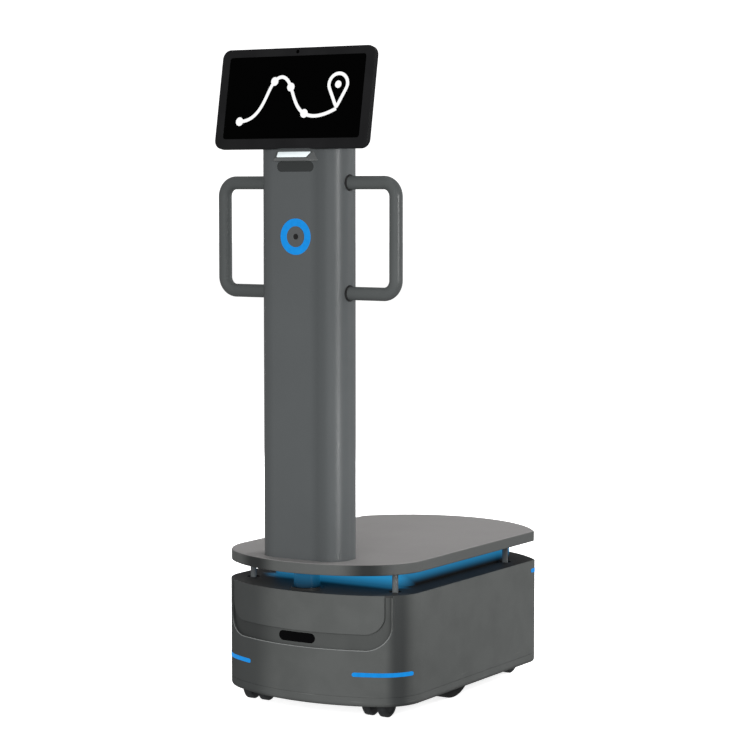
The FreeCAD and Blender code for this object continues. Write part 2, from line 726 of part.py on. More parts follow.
add_plan(shell_rebate, inset(BASE_PLAN, S.lid_rim))
pocket(base_shell, shell_rebate, S.base_top, back=True)
shell_recess = new_sketch(base_shell, "recess", "XZ_Plane", S.base_front / 2)
add_shield(shell_recess, recess_half, S.recess_low, S.base_top * 1.5, S.recess_corner)
pocket(base_shell, shell_recess, S.base_front, back=True)
round_edges(base_shell, S.recess_round, shield_edge(recess_half, S.recess_low), "recess_edge")
shell_front_slots = new_sketch(base_shell, "front_slots", "XZ_Plane", S.front_strip_end)
add_box(shell_front_slots, S.front_strip_start, S.base_width, strip_low, strip_high)
add_box(shell_front_slots, -S.base_width, -S.front_strip_start, strip_low, strip_high)
pocket(base_shell, shell_front_slots, S.base_front, back=True)
front_ends = strip_ends(strip_low, strip_high, S.front_strip_start, -S.front_strip_end)
round_edges(base_shell, S.strip_round, front_ends, "front_slot_ends")
shell_rear_slots = new_sketch(base_shell, "rear_slots", "XZ_Plane", -S.rear_strip_start)
add_box(shell_rear_slots, S.rear_strip_end, S.base_width, rear_strip_low, rear_strip_high)
add_box(shell_rear_slots, -S.base_width, -S.rear_strip_end, rear_strip_low, rear_strip_high)
pocket(base_shell, shell_rear_slots, S.base_rear)
rear_ends = strip_ends(rear_strip_low, rear_strip_high, S.rear_strip_end, S.rear_strip_start)
round_edges(base_shell, S.strip_round, rear_ends, "rear_slot_ends")
shell_rear_holes = new_sketch(base_shell, "rear_holes", "XZ_Plane", -S.base_rear / 2)
charge_half = S.charge_length / 2
charge_low = S.charge_z - S.charge_height / 2
charge_high = S.charge_z + S.charge_height / 2
add_box(shell_rear_holes, -charge_half, charge_half, charge_low, charge_high)
add_circle(shell_rear_holes, 0.0, S.power_z, power_radius + S.fit_gap)
pocket(base_shell, shell_rear_holes, S.base_rear)

# Recessed band and the shield panel in front of it
band_outer = S.shell_wall + S.fit_gap
band_inner = band_outer + S.band_thickness
band_low = S.recess_low - S.band_lap


def band_frame(sketch):
    half = recess_half + S.band_lap
    add_shield(sketch, half, band_low, S.base_top * 1.5, S.recess_corner + S.band_lap)


def panel_frame(sketch):
    add_shield(sketch, panel_half, S.panel_low, S.base_top * 1.5, S.panel_corner)


def front_window_frame(sketch):
    length = S.window_length - S.fit_gap * 2
    add_pill(sketch, 0.0, S.front_window_z, length, S.window_height - S.fit_gap * 2)


band_heights = (band_low - S.band_lap, lid_low)
front_band = keep(
    skin_piece("front_band", (band_outer, band_inner), band_heights, band_frame, S.base_front / 3)
)
band_hole = new_sketch(front_band, "hole", "XZ_Plane", S.base_front / 2)
add_pill(band_hole, 0.0, S.front_window_z, S.window_length, S.window_height)
pocket(front_band, band_hole, S.base_front, back=True)
front_panel = keep(
    skin_piece("front_panel", (0.0, S.shell_wall), (S.panel_low, S.base_top), panel_frame, S.base_front / 3)
)
panel_rebate = new_sketch(front_panel, "rebate", "XY_Plane", lid_low)
add_plan(panel_rebate, inset(BASE_PLAN, S.lid_rim))
pocket(front_panel, panel_rebate, S.base_top, back=True)
round_edges(front_panel, S.edge_round, shield_edge(panel_half, S.panel_low), "edge")
front_window = skin_piece(
    "front_window",
    (band_outer + S.window_recess, band_inner),
    (S.front_window_z - S.window_height, S.front_window_z + S.window_height),
    front_window_frame,
    S.base_front / 3,
)


# Turn-light strips, let into slots in the shell
def front_strip_frame(sketch):
    start = S.front_strip_start + S.fit_gap
    add_box(sketch, start, S.base_width * 0.9, strip_low + S.fit_gap, strip_high - S.fit_gap)


def rear_strip_frame(sketch):
    start = S.rear_strip_end + S.fit_gap
    add_box(sketch, start, S.base_width * 0.9, rear_strip_low + S.fit_gap, rear_strip_high - S.fit_gap)


def round_strip(strip, low, high, x, y):
    ends = strip_ends(low + S.fit_gap, high - S.fit_gap, x + S.fit_gap, y)
    round_edges(strip, S.strip_round - S.fit_gap, ends, "ends")


strip_depths = (-S.strip_proud, S.shell_wall)
front_strip = skin_piece(
    "front_strip", strip_depths, (strip_low, strip_high), front_strip_frame, S.front_strip_end + S.fit_gap
)
round_strip(front_strip, strip_low, strip_high, S.front_strip_start, -S.front_strip_end - S.fit_gap)
front_lights = keep(group("front_lights", [front_strip, mirrored(front_strip, "front_strip_left")]))
rear_strip = skin_piece(
    "rear_strip",
    strip_depths,
    (rear_strip_low, rear_strip_high),
    rear_strip_frame,
    S.rear_strip_start + S.fit_gap,
    behind=True,
)
round_strip(rear_strip, rear_strip_low, rear_strip_high, S.rear_strip_end, S.rear_strip_start + S.fit_gap)
rear_lights = keep(group("rear_lights", [rear_strip, mirrored(rear_strip, "rear_strip_left")]))


# Charging plate and its two contacts at the rear
def charge_frame(sketch):
    half = charge_half - S.fit_gap
    add_box(sketch, -half, half, charge_low + S.fit_gap, charge_high - S.fit_gap)


def contact_frame(sketch):
    middle = S.contact_spacing / 2
    half = S.contact_length / 2
    low = S.charge_z - S.contact_height / 2
    add_box(sketch, middle - half, middle + half, low, low + S.contact_height)


charge_heights = (charge_low, charge_high)
charge_depths = (-S.charge_proud, S.shell_wall)
charge_plate = keep(
    skin_piece("charge_plate", charge_depths, charge_heights, charge_frame, S.base_rear / 2, behind=True)
)
contact_depths = (-S.charge_proud - S.contact_proud, -S.charge_proud - S.run_gap)
charge_contact = skin_piece(
    "charge_contact", contact_depths, charge_heights, contact_frame, S.base_rear / 2, behind=True
)
left_contact = mirrored(charge_contact, "charge_contact_left")
charge_contacts = keep(group("charge_contacts", [charge_contact, left_contact]))

# Power button and its housing, about an axis that points to the rear
button_bore = S.power_diameter / 2 + S.fit_gap
power_housing = turned(
    "power_housing",
    [
        (0.0, -S.power_depth),
        (power_radius, -S.power_depth),
        (power_radius, S.fit_gap),
        (S.power_ring / 2 + S.edge_round, S.fit_gap),
        (S.power_ring / 2, S.power_proud - S.edge_round / 2),
        (button_bore, S.power_proud - S.edge_round / 2),
        (button_bore, -S.power_depth / 2),
        (0.0, -S.power_depth / 2),
    ],
)
keep(place(power_housing, 0.0, S.base_rear, S.power_z, (1, 0, 0), -90))
power_button = turned(
    "power_button",
    [
        (0.0, S.power_travel - S.power_depth / 2 + S.fit_gap),
        (S.power_diameter / 2, S.power_travel - S.power_depth / 2 + S.fit_gap),
        (S.power_diameter / 2, S.power_proud - S.edge_round / 2),
        (S.power_diameter / 2 - S.edge_round / 2, S.power_proud),
        (0.0, S.power_proud),
    ],
)
keep(place(power_button, 0.0, S.base_rear, S.power_z, (1, 0, 0), -90))

# Lid of the base, with holes for the posts and the scanner
POSTS = [
    (front_post_x, -S.front_post_y),
    (-front_post_x, -S.front_post_y),
    (rear_post_x, S.rear_post_y),
    (-rear_post_x, S.rear_post_y),
]
base_lid = keep(new_body("base_lid"))
lid_outline = new_sketch(base_lid, "outline", "XY_Plane", lid_low)
add_plan(lid_outline, inset(BASE_PLAN, S.lid_rim + S.fit_gap))
pad(base_lid, lid_outline, S.lid_thickness)
lid_holes = new_sketch(base_lid, "holes", "XY_Plane")
for x, y in POSTS:
    add_circle(lid_holes, x, y, S.post_hole / 2)
add_circle(lid_holes, 0.0, -lidar_y, S.lidar_diameter / 2 + S.fit_gap)
pocket(base_lid, lid_holes, S.base_top * 2, back=True)

# Chassis plate, on the shell's sill, with openings for the wheels and the casters' stems
CASTERS = [
    ("front_right", caster_x, -S.front_caster_y, 0),
    ("front_left", -caster_x, -S.front_caster_y, 0),
    ("rear_right", caster_x, S.rear_caster_y, 180),
    ("rear_left", -caster_x, S.rear_caster_y, 180),
]
chassis_plate = keep(new_body("chassis_plate"))
chassis_outline = new_sketch(chassis_plate, "outline", "XY_Plane", S.chassis_height)
add_plan(chassis_outline, inset(BASE_PLAN, S.shell_wall + S.fit_gap))
pad(chassis_plate, chassis_outline, S.chassis_thickness)
chassis_wells = new_sketch(chassis_plate, "wells", "XY_Plane")
well_inner = bracket_outer + S.fit_gap * 3
well_outer = wheel_outer + S.well_margin
well_front = -S.wheel_y - S.wheel_radius - S.well_margin
well_rear = -S.wheel_y + S.wheel_radius + S.well_margin
add_box(chassis_wells, well_inner, well_outer, well_front, well_rear)
add_box(chassis_wells, -well_outer, -well_inner, well_front, well_rear)
for name, x, y, turn in CASTERS:
    add_circle(chassis_wells, x, y, S.caster_stem)
pocket(chassis_plate, chassis_wells, S.base_top, back=True)

# Load deck, with a shallow recess that locates the column
deck_plate = keep(new_body("deck_plate"))
deck_outline = new_sketch(deck_plate, "outline", "XY_Plane", deck_low)
add_plan(deck_outline, DECK_PLAN)
pad(deck_plate, deck_outline, S.deck_thickness)
for level in (deck_low, deck_top):
    round_edges(deck_plate, S.deck_round, flat_at("z", level), f"edge_{int(level.value)}")
deck_seat = new_sketch(deck_plate, "seat", "XY_Plane", column_low)


def add_column(sketch, grow):
    """The column's section, grown or shrunk."""
    half = S.column_width / 2 + grow
    front = -column_face - grow
    rear = -column_y + S.column_depth / 2 + grow
    add_rounded(sketch, -half, half, front, rear, S.column_corner + grow)


add_column(deck_seat, S.fit_gap)
pocket(deck_plate, deck_seat, S.deck_thickness, back=True)

# Posts that carry the deck, standing on the chassis plate
post_height = deck_low - chassis_top
post_items = []
for i, (x, y) in enumerate(POSTS):
    post = turned(
        f"post_{i}",
        [(0.0, 0.0), (S.post_diameter / 2, 0.0), (S.post_diameter / 2, post_height), (0.0, post_height)],
    )
    post_items.append(place(post, x, y, chassis_top))
deck_posts = keep(group("deck_posts", post_items))

# Neck core between the lid and the deck, and the light band around its upper edge
neck_core = keep(new_body("neck_core"))
core_ring = new_sketch(neck_core, "ring", "XY_Plane", S.base_top)
add_rounded(core_ring, -core_half, core_half, -S.core_front, S.core_rear, S.core_corner)
inner_half = core_half - S.core_wall
inner_corner = S.core_corner - S.core_wall
inner_front = S.core_wall - S.core_front
add_rounded(core_ring, -inner_half, inner_half, inner_front, S.core_rear - S.core_wall, inner_corner)
pad(neck_core, core_ring, S.lidar_gap)
glow_band = keep(new_body("glow_band"))
glow_ring = new_sketch(glow_band, "ring", "XY_Plane", deck_low - S.glow_height)
for grow in (S.run_gap, S.run_gap + S.glow_thickness):
    half = core_half + grow
    add_rounded(glow_ring, -half, half, -S.core_front - grow, S.core_rear + grow, S.core_corner + grow)
pad(glow_band, glow_ring, S.glow_height)

# Scanner: a fixed base let into the lid, and a head that turns on its shaft
head_low = S.lidar_flange_height + S.fit_gap
lidar_base = turned(
    "lidar_base",
    [
        (0.0, -S.lidar_sink),
        (S.lidar_diameter / 2, -S.lidar_sink),
        (S.lidar_diameter / 2, 0.0),
        (S.lidar_flange / 2, 0.0),
        (S.lidar_flange / 2 - S.edge_round, S.lidar_flange_height),
        (S.lidar_shaft / 2 + S.run_gap, S.lidar_flange_height),
        (S.lidar_shaft / 2 + S.run_gap, -S.lidar_sink * 0.7),
        (0.0, -S.lidar_sink * 0.7),
    ],
)
keep(place(lidar_base, 0.0, -lidar_y, S.base_top))
lidar_head = turned(
    "lidar_head",
    [
        (0.0, -S.lidar_sink * 0.6),
        (S.lidar_shaft / 2, -S.lidar_sink * 0.6),
        (S.lidar_shaft / 2, head_low),
        (S.lidar_diameter / 2, head_low),
        (S.lidar_diameter / 2, head_low + S.lidar_head_height - S.edge_round),
        (S.lidar_diameter / 2 - S.edge_round, head_low + S.lidar_head_height),
        (0.0, head_low + S.lidar_head_height),
    ],
)
lens_slot = new_sketch(lidar_head, "lens", "XZ_Plane", S.lidar_diameter * 0.42)
lens_half = S.lidar_diameter * 0.3
lens_low = head_low + S.lidar_head_height * 0.3
add_box(lens_slot, -lens_half, lens_half, lens_low, head_low + S.lidar_head_height * 0.75)
pocket(lidar_head, lens_slot, S.lidar_diameter, back=True)
keep(place(lidar_head, 0.0, -lidar_y, S.base_top))

# Column: an extruded tube, its foot block and its top cap
column_tube = keep(new_body("column_tube"))
column_ring = new_sketch(column_tube, "ring", "XY_Plane", column_low)
add_column(column_ring, 0.0)
add_column(column_ring, -S.column_wall)
pad(column_tube, column_ring, S.column_top - column_low)
column_sides = new_sketch(column_tube, "sides", "YZ_Plane", -S.column_width)
for z in (handle_low, handle_high):
    add_circle(column_sides, -handle_y, z, S.grommet_diameter / 2 + S.fit_gap)
pocket(column_tube, column_sides, back=True)
column_openings = new_sketch(column_tube, "openings", "XZ_Plane", column_y)
add_circle(column_openings, 0.0, ring_z, S.ring_outer / 2 + S.fit_gap)
add_pill(column_openings, 0.0, hood_window_z, S.window_length, S.window_height)
pocket(column_tube, column_openings, S.column_depth, back=True)
column_foot = keep(new_body("column_foot"))
foot_block = new_sketch(column_foot, "block", "XY_Plane", column_low)
add_column(foot_block, -S.column_wall - S.fit_gap)
add_circle(foot_block, 0.0, -column_y, S.column_depth / 5)
pad(column_foot, foot_block, S.foot_height)
column_cap = keep(new_body("column_cap"))
cap_block = new_sketch(column_cap, "block", "XY_Plane", S.column_top - S.cap_plug)
add_column(cap_block, -S.column_wall - S.fit_gap)
pad(column_cap, cap_block, S.cap_plug)
cap_cover = new_sketch(column_cap, "cover", "XY_Plane", S.column_top)
add_column(cap_cover, 0.0)
pad(column_cap, cap_cover, S.cap_thickness)
round_edges(column_cap, S.edge_round, flat_at("z", cap_top), "edge")

# Ring light, the cup behind it and the round button inside it, about an axis to the front
FRONT = ((1, 0, 0), 90)
ring_light = turned(
    "ring_light",
    [
        (S.ring_inner / 2, -S.ring_depth),
        (S.ring_outer / 2, -S.ring_depth),
        (S.ring_outer / 2, 0.0),
        (S.ring_outer / 2 - S.ring_proud, S.ring_proud),
        (S.ring_inner / 2 + S.ring_proud, S.ring_proud),
        (S.ring_inner / 2, 0.0),
    ],
)
keep(place(ring_light, 0.0, -column_face, ring_z, *FRONT))
button_radius = S.ring_inner / 2 - S.fit_gap
button_space = S.ring_depth + S.button_thickness / 2 + S.button_travel
button_cup = turned(
    "button_cup",
    [
        (S.button_stem / 2 + S.run_gap, -S.cup_depth),
        (S.cup_diameter / 2, -S.cup_depth),
        (S.cup_diameter / 2, -S.column_wall),
        (S.ring_outer / 2 + S.fit_gap, -S.column_wall),
        (S.ring_outer / 2 + S.fit_gap, -S.ring_depth),
        (S.ring_inner / 2, -S.ring_depth),
        (S.ring_inner / 2, -button_space),
        (S.button_stem / 2 + S.run_gap, -button_space),
    ],
)
keep(place(button_cup, 0.0, -column_face, ring_z, *FRONT))
ring_button = turned(
    "ring_button",
    [
        (0.0, -S.dimple_depth),
        (S.dimple_diameter / 2, 0.0),
        (button_radius, 0.0),
        (button_radius, -S.button_thickness),
        (S.button_stem / 2, -S.button_thickness),
        (S.button_stem / 2, -S.cup_depth),
        (0.0, -S.cup_depth),
    ],
)
keep(place(ring_button, 0.0, -column_face, ring_z, *FRONT))

# Camera hood: a visor over the window in the column's front face
hood_low = hood_window_z + S.window_height / 2 + S.fit_gap * 2
brow_low = hood_brow - S.brow_height
brow_face = column_face + S.hood_depth
hood_half = S.hood_width / 2
brow_half = hood_half - S.hood_taper
brow_slant = S.hood_slant * S.brow_height / (hood_high - hood_low)
camera_hood = keep(new_body("camera_hood"))
hood_back = new_sketch(camera_hood, "back", "XZ_Plane", column_face)
hood_front = new_sketch(camera_hood, "front", "XZ_Plane", brow_face)
for sketch, half, slant, low, high in (
    (hood_back, hood_half, S.hood_slant, hood_low, hood_high),
    (hood_front, brow_half, brow_slant, brow_low, hood_brow),
):
    add_polygon(sketch, [(-half, low), (half, low), (half - slant, high), (slant - half, high)])
doc.recompute()
hood_loft = camera_hood.newObject("PartDesign::AdditiveLoft", "camera_hood_loft")
hood_loft.Profile = hood_back
hood_loft.Sections = [hood_front]
hood_loft.Ruled = True
camera_hood.Tip = hood_loft
doc.recompute()
round_edges(camera_hood, S.edge_round, lambda edge: not flat_at("y", -column_face)(edge), "edges")
hood_window = new_body("hood_window")
hood_pill = new_sketch(hood_window, "pill", "XZ_Plane", column_face - S.window_recess)
window_length = S.window_length - S.fit_gap * 2
add_pill(hood_pill, 0.0, hood_window_z, window_length, S.window_height - S.fit_gap * 2)
pad(hood_window, hood_pill, S.column_wall - S.window_recess, back=True)
camera_windows = keep(group("camera_windows", [front_window, hood_window]))


# Depth camera modules behind the two windows
def camera_module(label, front, z):
    body = new_body(label)
    outline = new_sketch(body, "outline", "XZ_Plane", front)
    half = S.camera_length / 2
    corner = S.camera_height / 4
    add_rounded(outline, -half, half, z - S.camera_height / 2, z + S.camera_height / 2, corner)
    pad(body, outline, S.camera_depth, back=True)
    return body


bow = S.camera_length * S.camera_length / (8 * (S.base_front_radius - band_inner))
front_camera = camera_module("front_camera", S.base_front - band_inner - bow - S.fit_gap, S.front_window_z)
hood_camera = camera_module("hood_camera", column_inside, hood_window_z)
depth_cameras = keep(group("depth_cameras", [front_camera, hood_camera]))

# Handles: bent tubes, their grommets in the column's sides and the plates that hold them inside
handle_right = keep(new_body("handle_right"))
spine = new_sketch(handle_right, "spine", "XZ_Plane", handle_y)
x0, x1 = handle_end.value, S.handle_x.value
z0, z1, bend = handle_low.value, handle_high.value, S.handle_bend.value
spine.addGeometry(Part.LineSegment(vec(x0, z0), vec(x1 - bend, z0)))
add_arc(spine, x1 - bend, z0 + bend, bend, -math.pi / 2, 0)
spine.addGeometry(Part.LineSegment(vec(x1, z0 + bend), vec(x1, z1 - bend)))
add_arc(spine, x1 - bend, z1 - bend, bend, 0, math.pi / 2)
spine.addGeometry(Part.LineSegment(vec(x1 - bend, z1), vec(x0, z1)))
for i in range(4):
    spine.addConstraint(Sketcher.Constraint("Tangent", i, 2, i + 1, 1))
spine.addConstraint(Sketcher.Constraint("Horizontal", 0))
spine.addConstraint(Sketcher.Constraint("Vertical", 2))
spine.addConstraint(Sketcher.Constraint("Horizontal", 4))
spine.addConstraint(Sketcher.Constraint("Equal", 1, 3))
hold(spine, "Radius", (1,), S.handle_bend)
pin_point(spine, 0, 1, handle_end, handle_low)
pin_point(spine, 4, 2, handle_end, handle_high)
hold(spine, "DistanceX", (-1, 1, 2, 1), S.handle_x)
tube_ring = new_sketch(handle_right, "tube", "YZ_Plane", handle_end)
add_circle(tube_ring, -handle_y, handle_low, S.handle_tube / 2)
add_circle(tube_ring, -handle_y, handle_low, S.handle_tube / 2 - S.handle_wall)
doc.recompute()
tube = handle_right.newObject("PartDesign::AdditivePipe", "handle_right_tube_sweep")
tube.Profile = tube_ring
tube.Spine = (spine, [f"Edge{i}" for i in range(1, 6)])
handle_right.Tip = tube
doc.recompute()
handle_left = keep(mirrored(handle_right, "handle_left"))
grommet_items = []
for name, z in (("low", handle_low), ("high", handle_high)):
    grommet = turned(
        f"grommet_{name}",
        [
            (S.handle_tube / 2 + S.fit_gap, -S.column_wall),
            (S.grommet_diameter / 2, -S.column_wall),
            (S.grommet_diameter / 2, S.grommet_proud / 2),
            (S.grommet_diameter / 2 - S.grommet_proud / 2, S.grommet_proud),
            (S.handle_tube / 2 + S.fit_gap, S.grommet_proud),
        ],
    )
    place(grommet, S.column_width / 2, -handle_y, z, (0, 1, 0), 90)
    grommet_items += [grommet, mirrored(grommet, f"grommet_{name}_left")]
handle_grommets = keep(group("handle_grommets", grommet_items))
anchor = new_body("anchor")
anchor_plate = new_sketch(anchor, "plate", "YZ_Plane", handle_end - S.anchor_thickness)
anchor_low = handle_low - S.anchor_margin
anchor_high = handle_high + S.anchor_margin
anchor_front = -handle_y - S.anchor_width / 2
anchor_rear = anchor_front + S.anchor_width
add_rounded(anchor_plate, anchor_front, anchor_rear, anchor_low, anchor_high, S.anchor_margin / 3)
pad(anchor, anchor_plate, S.anchor_thickness)
handle_anchors = keep(group("handle_anchors", [anchor, mirrored(anchor, "anchor_left")]))

# Display, drawn upright about its lower front edge and then leant back
lean = S.display_lean_angle
half_width = S.display_width / 2


def lean_back(body):
    turn = FreeCAD.Rotation(vec(1, 0, 0), -lean.value)
    body.Placement = FreeCAD.Placement(vec(0, 0, 0), turn)
    bind(body, "Placement.Rotation.Angle", -lean)
    bind(body, "Placement.Base.y", -display_front)
    bind(body, "Placement.Base.z", display_low)
    doc.recompute()
    return keep(body)


def add_display(sketch, grow):
    low, high = as_size(0.0) - grow, S.display_height + grow
    add_rounded(sketch, -half_width - grow, half_width + grow, low, high, S.display_corner + grow)


def display_edge(depth):
    """A test for the display's outer edges at a depth behind its face."""

    def chosen(edge):
        first, last = edge.ParameterRange
        middle = edge.valueAt((first + last) / 2)
        corner = S.display_corner.value / 3
        beside = abs(middle.x) > half_width.value - corner
        across = middle.z < corner or middle.z > S.display_height.value - S.bezel_top.value / 4
        return flat_at("y", depth)(edge) and (beside or across)

    return chosen


glass_half = half_width - S.bezel_side
glass_high = S.display_height - S.bezel_top
glass_corner = S.display_corner / 3
lens_z = S.display_height - S.bezel_top / 2
display_frame = new_body("display_frame")
frame_face = new_sketch(display_frame, "face", "XZ_Plane")
add_display(frame_face, 0.0)
add_rounded(frame_face, -glass_half, glass_half, S.bezel_low, glass_high, glass_corner)
add_circle(frame_face, 0.0, lens_z, S.display_camera / 2 + S.fit_gap)
pad(display_frame, frame_face, S.frame_depth, back=True)
round_edges(display_frame, S.edge_round, display_edge(0.0), "edge")
lean_back(display_frame)
display_glass = new_body("display_glass")
glass_face = new_sketch(display_glass, "face", "XZ_Plane", -S.glass_recess)
add_rounded(
    glass_face,
    S.fit_gap - glass_half,
    glass_half - S.fit_gap,
    S.bezel_low + S.fit_gap,
    glass_high - S.fit_gap,
    glass_corner,
)
pad(display_glass, glass_face, S.frame_depth - S.glass_recess, back=True)
lean_back(display_glass)
display_lens = new_body("display_lens")
lens_face = new_sketch(display_lens, "face", "XZ_Plane", -S.fit_gap)
add_circle(lens_face, 0.0, lens_z, S.display_camera / 2)
pad(display_lens, lens_face, S.frame_depth - S.fit_gap, back=True)
lean_back(display_lens)
display_shell = new_body("display_shell")
shell_face = new_sketch(display_shell, "face", "XZ_Plane", -S.frame_depth)
add_display(shell_face, 0.0)
pad(display_shell, shell_face, S.display_rim - S.frame_depth, back=True)
round_edges(display_shell, S.display_round, display_edge(S.display_rim), "edge")
bulge_foot = new_sketch(display_shell, "foot", "XZ_Plane", -S.display_rim)
foot_half_width = half_width - S.bulge_margin
foot_high = S.display_height - S.bulge_margin
add_rounded(bulge_foot, -foot_half_width, foot_half_width, S.bulge_margin, foot_high, S.bulge_corner)
bulge_back = new_sketch(display_shell, "back", "XZ_Plane", -S.display_rim - S.display_bulge)
middle = S.display_height / 2
bulge_low, bulge_high = middle - S.bulge_height / 2, middle + S.bulge_height / 2
add_rounded(bulge_back, -S.bulge_width / 2, S.bulge_width / 2, bulge_low, bulge_high, S.bulge_corner)
doc.recompute()
bulge = display_shell.newObject("PartDesign::AdditiveLoft", "display_shell_bulge")
bulge.Profile = bulge_foot
bulge.Sections = [bulge_back]
bulge.Ruled = True
display_shell.Tip = bulge
doc.recompute()
lean_back(display_shell)

# Tilt hinge: a knuckle on the display, two ears on the column and a pin
reach_y = display_front - hinge_y
reach_z = hinge_z - display_low
pin_y = reach_y * cosine(lean) - reach_z * sine(lean)
pin_z = reach_y * sine(lean) + reach_z * cosine(lean)
boss = S.hinge_boss / 2
bore = S.hinge_pin / 2 + S.run_gap
shell_back = S.display_rim + S.display_bulge
knuckle_half = S.ear_spacing / 2 - S.fit_gap
display_knuckle = new_body("display_knuckle")
knuckle_block = new_sketch(display_knuckle, "block", "YZ_Plane", -knuckle_half)
add_box(knuckle_block, shell_back, pin_y, pin_z - boss, pin_z + boss)
pad(display_knuckle, knuckle_block, knuckle_half * 2)
knuckle_boss = new_sketch(display_knuckle, "boss", "YZ_Plane", -knuckle_half)
add_circle(knuckle_boss, pin_y, pin_z, boss)
pad(display_knuckle, knuckle_boss, knuckle_half * 2)
knuckle_bore = new_sketch(display_knuckle, "bore", "YZ_Plane", -knuckle_half)
add_circle(knuckle_bore, pin_y, pin_z, bore)
pocket(display_knuckle, knuckle_bore, back=True)
lean_back(display_knuckle)
ear_half = S.ear_spacing / 2 + S.ear_thickness
foot_half = S.bracket_depth / 2
tilt_bracket = keep(new_body("tilt_bracket"))
bracket_foot = new_sketch(tilt_bracket, "foot", "XY_Plane", cap_top)
add_box(bracket_foot, -ear_half, ear_half, -hinge_y - foot_half, -hinge_y + foot_half)
pad(tilt_bracket, bracket_foot, S.bracket_foot)
for side, start in (("right", S.ear_spacing / 2), ("left", -ear_half)):
    ear_web = new_sketch(tilt_bracket, f"web_{side}", "YZ_Plane", start)
    add_polygon(
        ear_web,
        [
            (-hinge_y - foot_half, cap_top),
            (-hinge_y + foot_half, cap_top),
            (-hinge_y + boss, hinge_z),
            (-hinge_y - boss, hinge_z),
        ],
    )
    pad(tilt_bracket, ear_web, S.ear_thickness)
    ear_boss = new_sketch(tilt_bracket, f"boss_{side}", "YZ_Plane", start)
    add_circle(ear_boss, -hinge_y, hinge_z, boss)
    pad(tilt_bracket, ear_boss, S.ear_thickness)
ear_bore = new_sketch(tilt_bracket, "bore", "YZ_Plane", -S.column_width)
add_circle(ear_bore, -hinge_y, hinge_z, bore)
pocket(tilt_bracket, ear_bore, back=True)
pin_half = ear_half + S.edge_round
tilt_pin = turned(
    "tilt_pin",
    [(0.0, -pin_half), (S.hinge_pin / 2, -pin_half), (S.hinge_pin / 2, pin_half), (0.0, pin_half)],
)
keep(place(tilt_pin, 0.0, -hinge_y, hinge_z, (0, 1, 0), 90))

# Drive wheels: tyre, hub motor and axle on a sprung swing arm
SIDE = ((0, 1, 0), 90)
hub_radius = rim_radius - S.run_gap
hub_side = S.tyre_round / 4
axle_radius = S.axle_diameter / 2
axle_reach = S.tyre_width * 0.75
tread = []
for i in (-1, 0, 1):
    groove = S.tyre_width / 2 + S.tread_spacing * i
    for radius, side in (
        (S.wheel_radius, -S.tread_width / 2),
        (S.wheel_radius - S.tread_depth, -S.tread_width / 2),
        (S.wheel_radius - S.tread_depth, S.tread_width / 2),
        (S.wheel_radius, S.tread_width / 2),
    ):
        tread.append((radius, groove + side))
tyre_right = turned(
    "drive_tyre_right",
    [
        (rim_radius, 0.0),
        (S.wheel_radius, 0.0),
        *tread,
        (S.wheel_radius, S.tyre_width),
        (rim_radius, S.tyre_width),
    ],
)


def tyre_shoulder(edge):
    """A test for the tyre's two outer edges."""
    outside = edge.Curve.TypeId == "Part::GeomCircle" and abs(edge.Curve.Radius - S.wheel_radius.value) < 1e-6
    return outside and (flat_at("z", 0.0)(edge) or flat_at("z", S.tyre_width)(edge))


round_edges(tyre_right, S.tyre_round, tyre_shoulder, "shoulder")
keep(place(tyre_right, tyre_inner, -S.wheel_y, S.wheel_radius, *SIDE))
hub_right = turned(
    "drive_hub_right",
    [
        (axle_radius + S.run_gap, hub_side),
        (hub_radius, hub_side),
        (hub_radius, S.tyre_width - hub_side),
        (hub_radius * 0.8, S.tyre_width - hub_side),
        (hub_radius * 0.72, S.tyre_width - hub_side * 3),
        (0.0, S.tyre_width - hub_side * 3),
        (0.0, axle_reach + S.fit_gap),
        (axle_radius + S.run_gap, axle_reach + S.fit_gap),
    ],
)
keep(place(hub_right, tyre_inner, -S.wheel_y, S.wheel_radius, *SIDE))
collar_end = S.arm_gap + hub_side - S.fit_gap
axle_right = turned(
    "drive_axle_right",
    [
        (0.0, -S.arm_thickness - S.bracket_gap * 0.7),
        (S.axle_collar * 0.4, -S.arm_thickness - S.bracket_gap * 0.7),
        (S.axle_collar * 0.4, -S.arm_thickness),
        (axle_radius, -S.arm_thickness),
        (axle_radius, 0.0),
        (S.axle_collar / 2, 0.0),
        (S.axle_collar / 2, collar_end),
        (axle_radius, collar_end),
        (axle_radius, S.arm_gap + axle_reach),
        (0.0, S.arm_gap + axle_reach),
    ],
)
keep(place(axle_right, arm_outer, -S.wheel_y, S.wheel_radius, *SIDE))
arm_right = keep(new_body("suspension_arm_right"))
arm_middle = arm_inner + S.arm_thickness / 2
link_half = S.pivot_boss / 2 * 0.85
arm_parts = new_sketch(arm_right, "link", "YZ_Plane", arm_inner)
add_polygon(
    arm_parts,
    [
        (S.pivot_rear, S.pivot_z - link_half),
        (S.pivot_rear, S.pivot_z + link_half),
        (-S.wheel_y, S.wheel_radius + link_half),
        (-S.wheel_y, S.wheel_radius - link_half),
    ],
)
pad(arm_right, arm_parts, S.arm_thickness)
arm_eye = new_sketch(arm_right, "eye", "YZ_Plane", arm_inner)
add_circle(arm_eye, -S.wheel_y, S.wheel_radius, S.arm_boss / 2)
pad(arm_right, arm_eye, S.arm_thickness)
arm_pivot = new_sketch(arm_right, "pivot", "YZ_Plane", bracket_outer + S.fit_gap)
add_circle(arm_pivot, S.pivot_rear, S.pivot_z, S.pivot_boss / 2)
pad(arm_right, arm_pivot, arm_outer + S.ear_gap - bracket_outer - S.fit_gap * 2)
arm_tower = new_sketch(arm_right, "tower", "YZ_Plane", arm_inner)
seat_half = S.seat_diameter * 0.4
seat_thickness = S.arm_thickness / 3
tower_high = buffer_low - seat_thickness
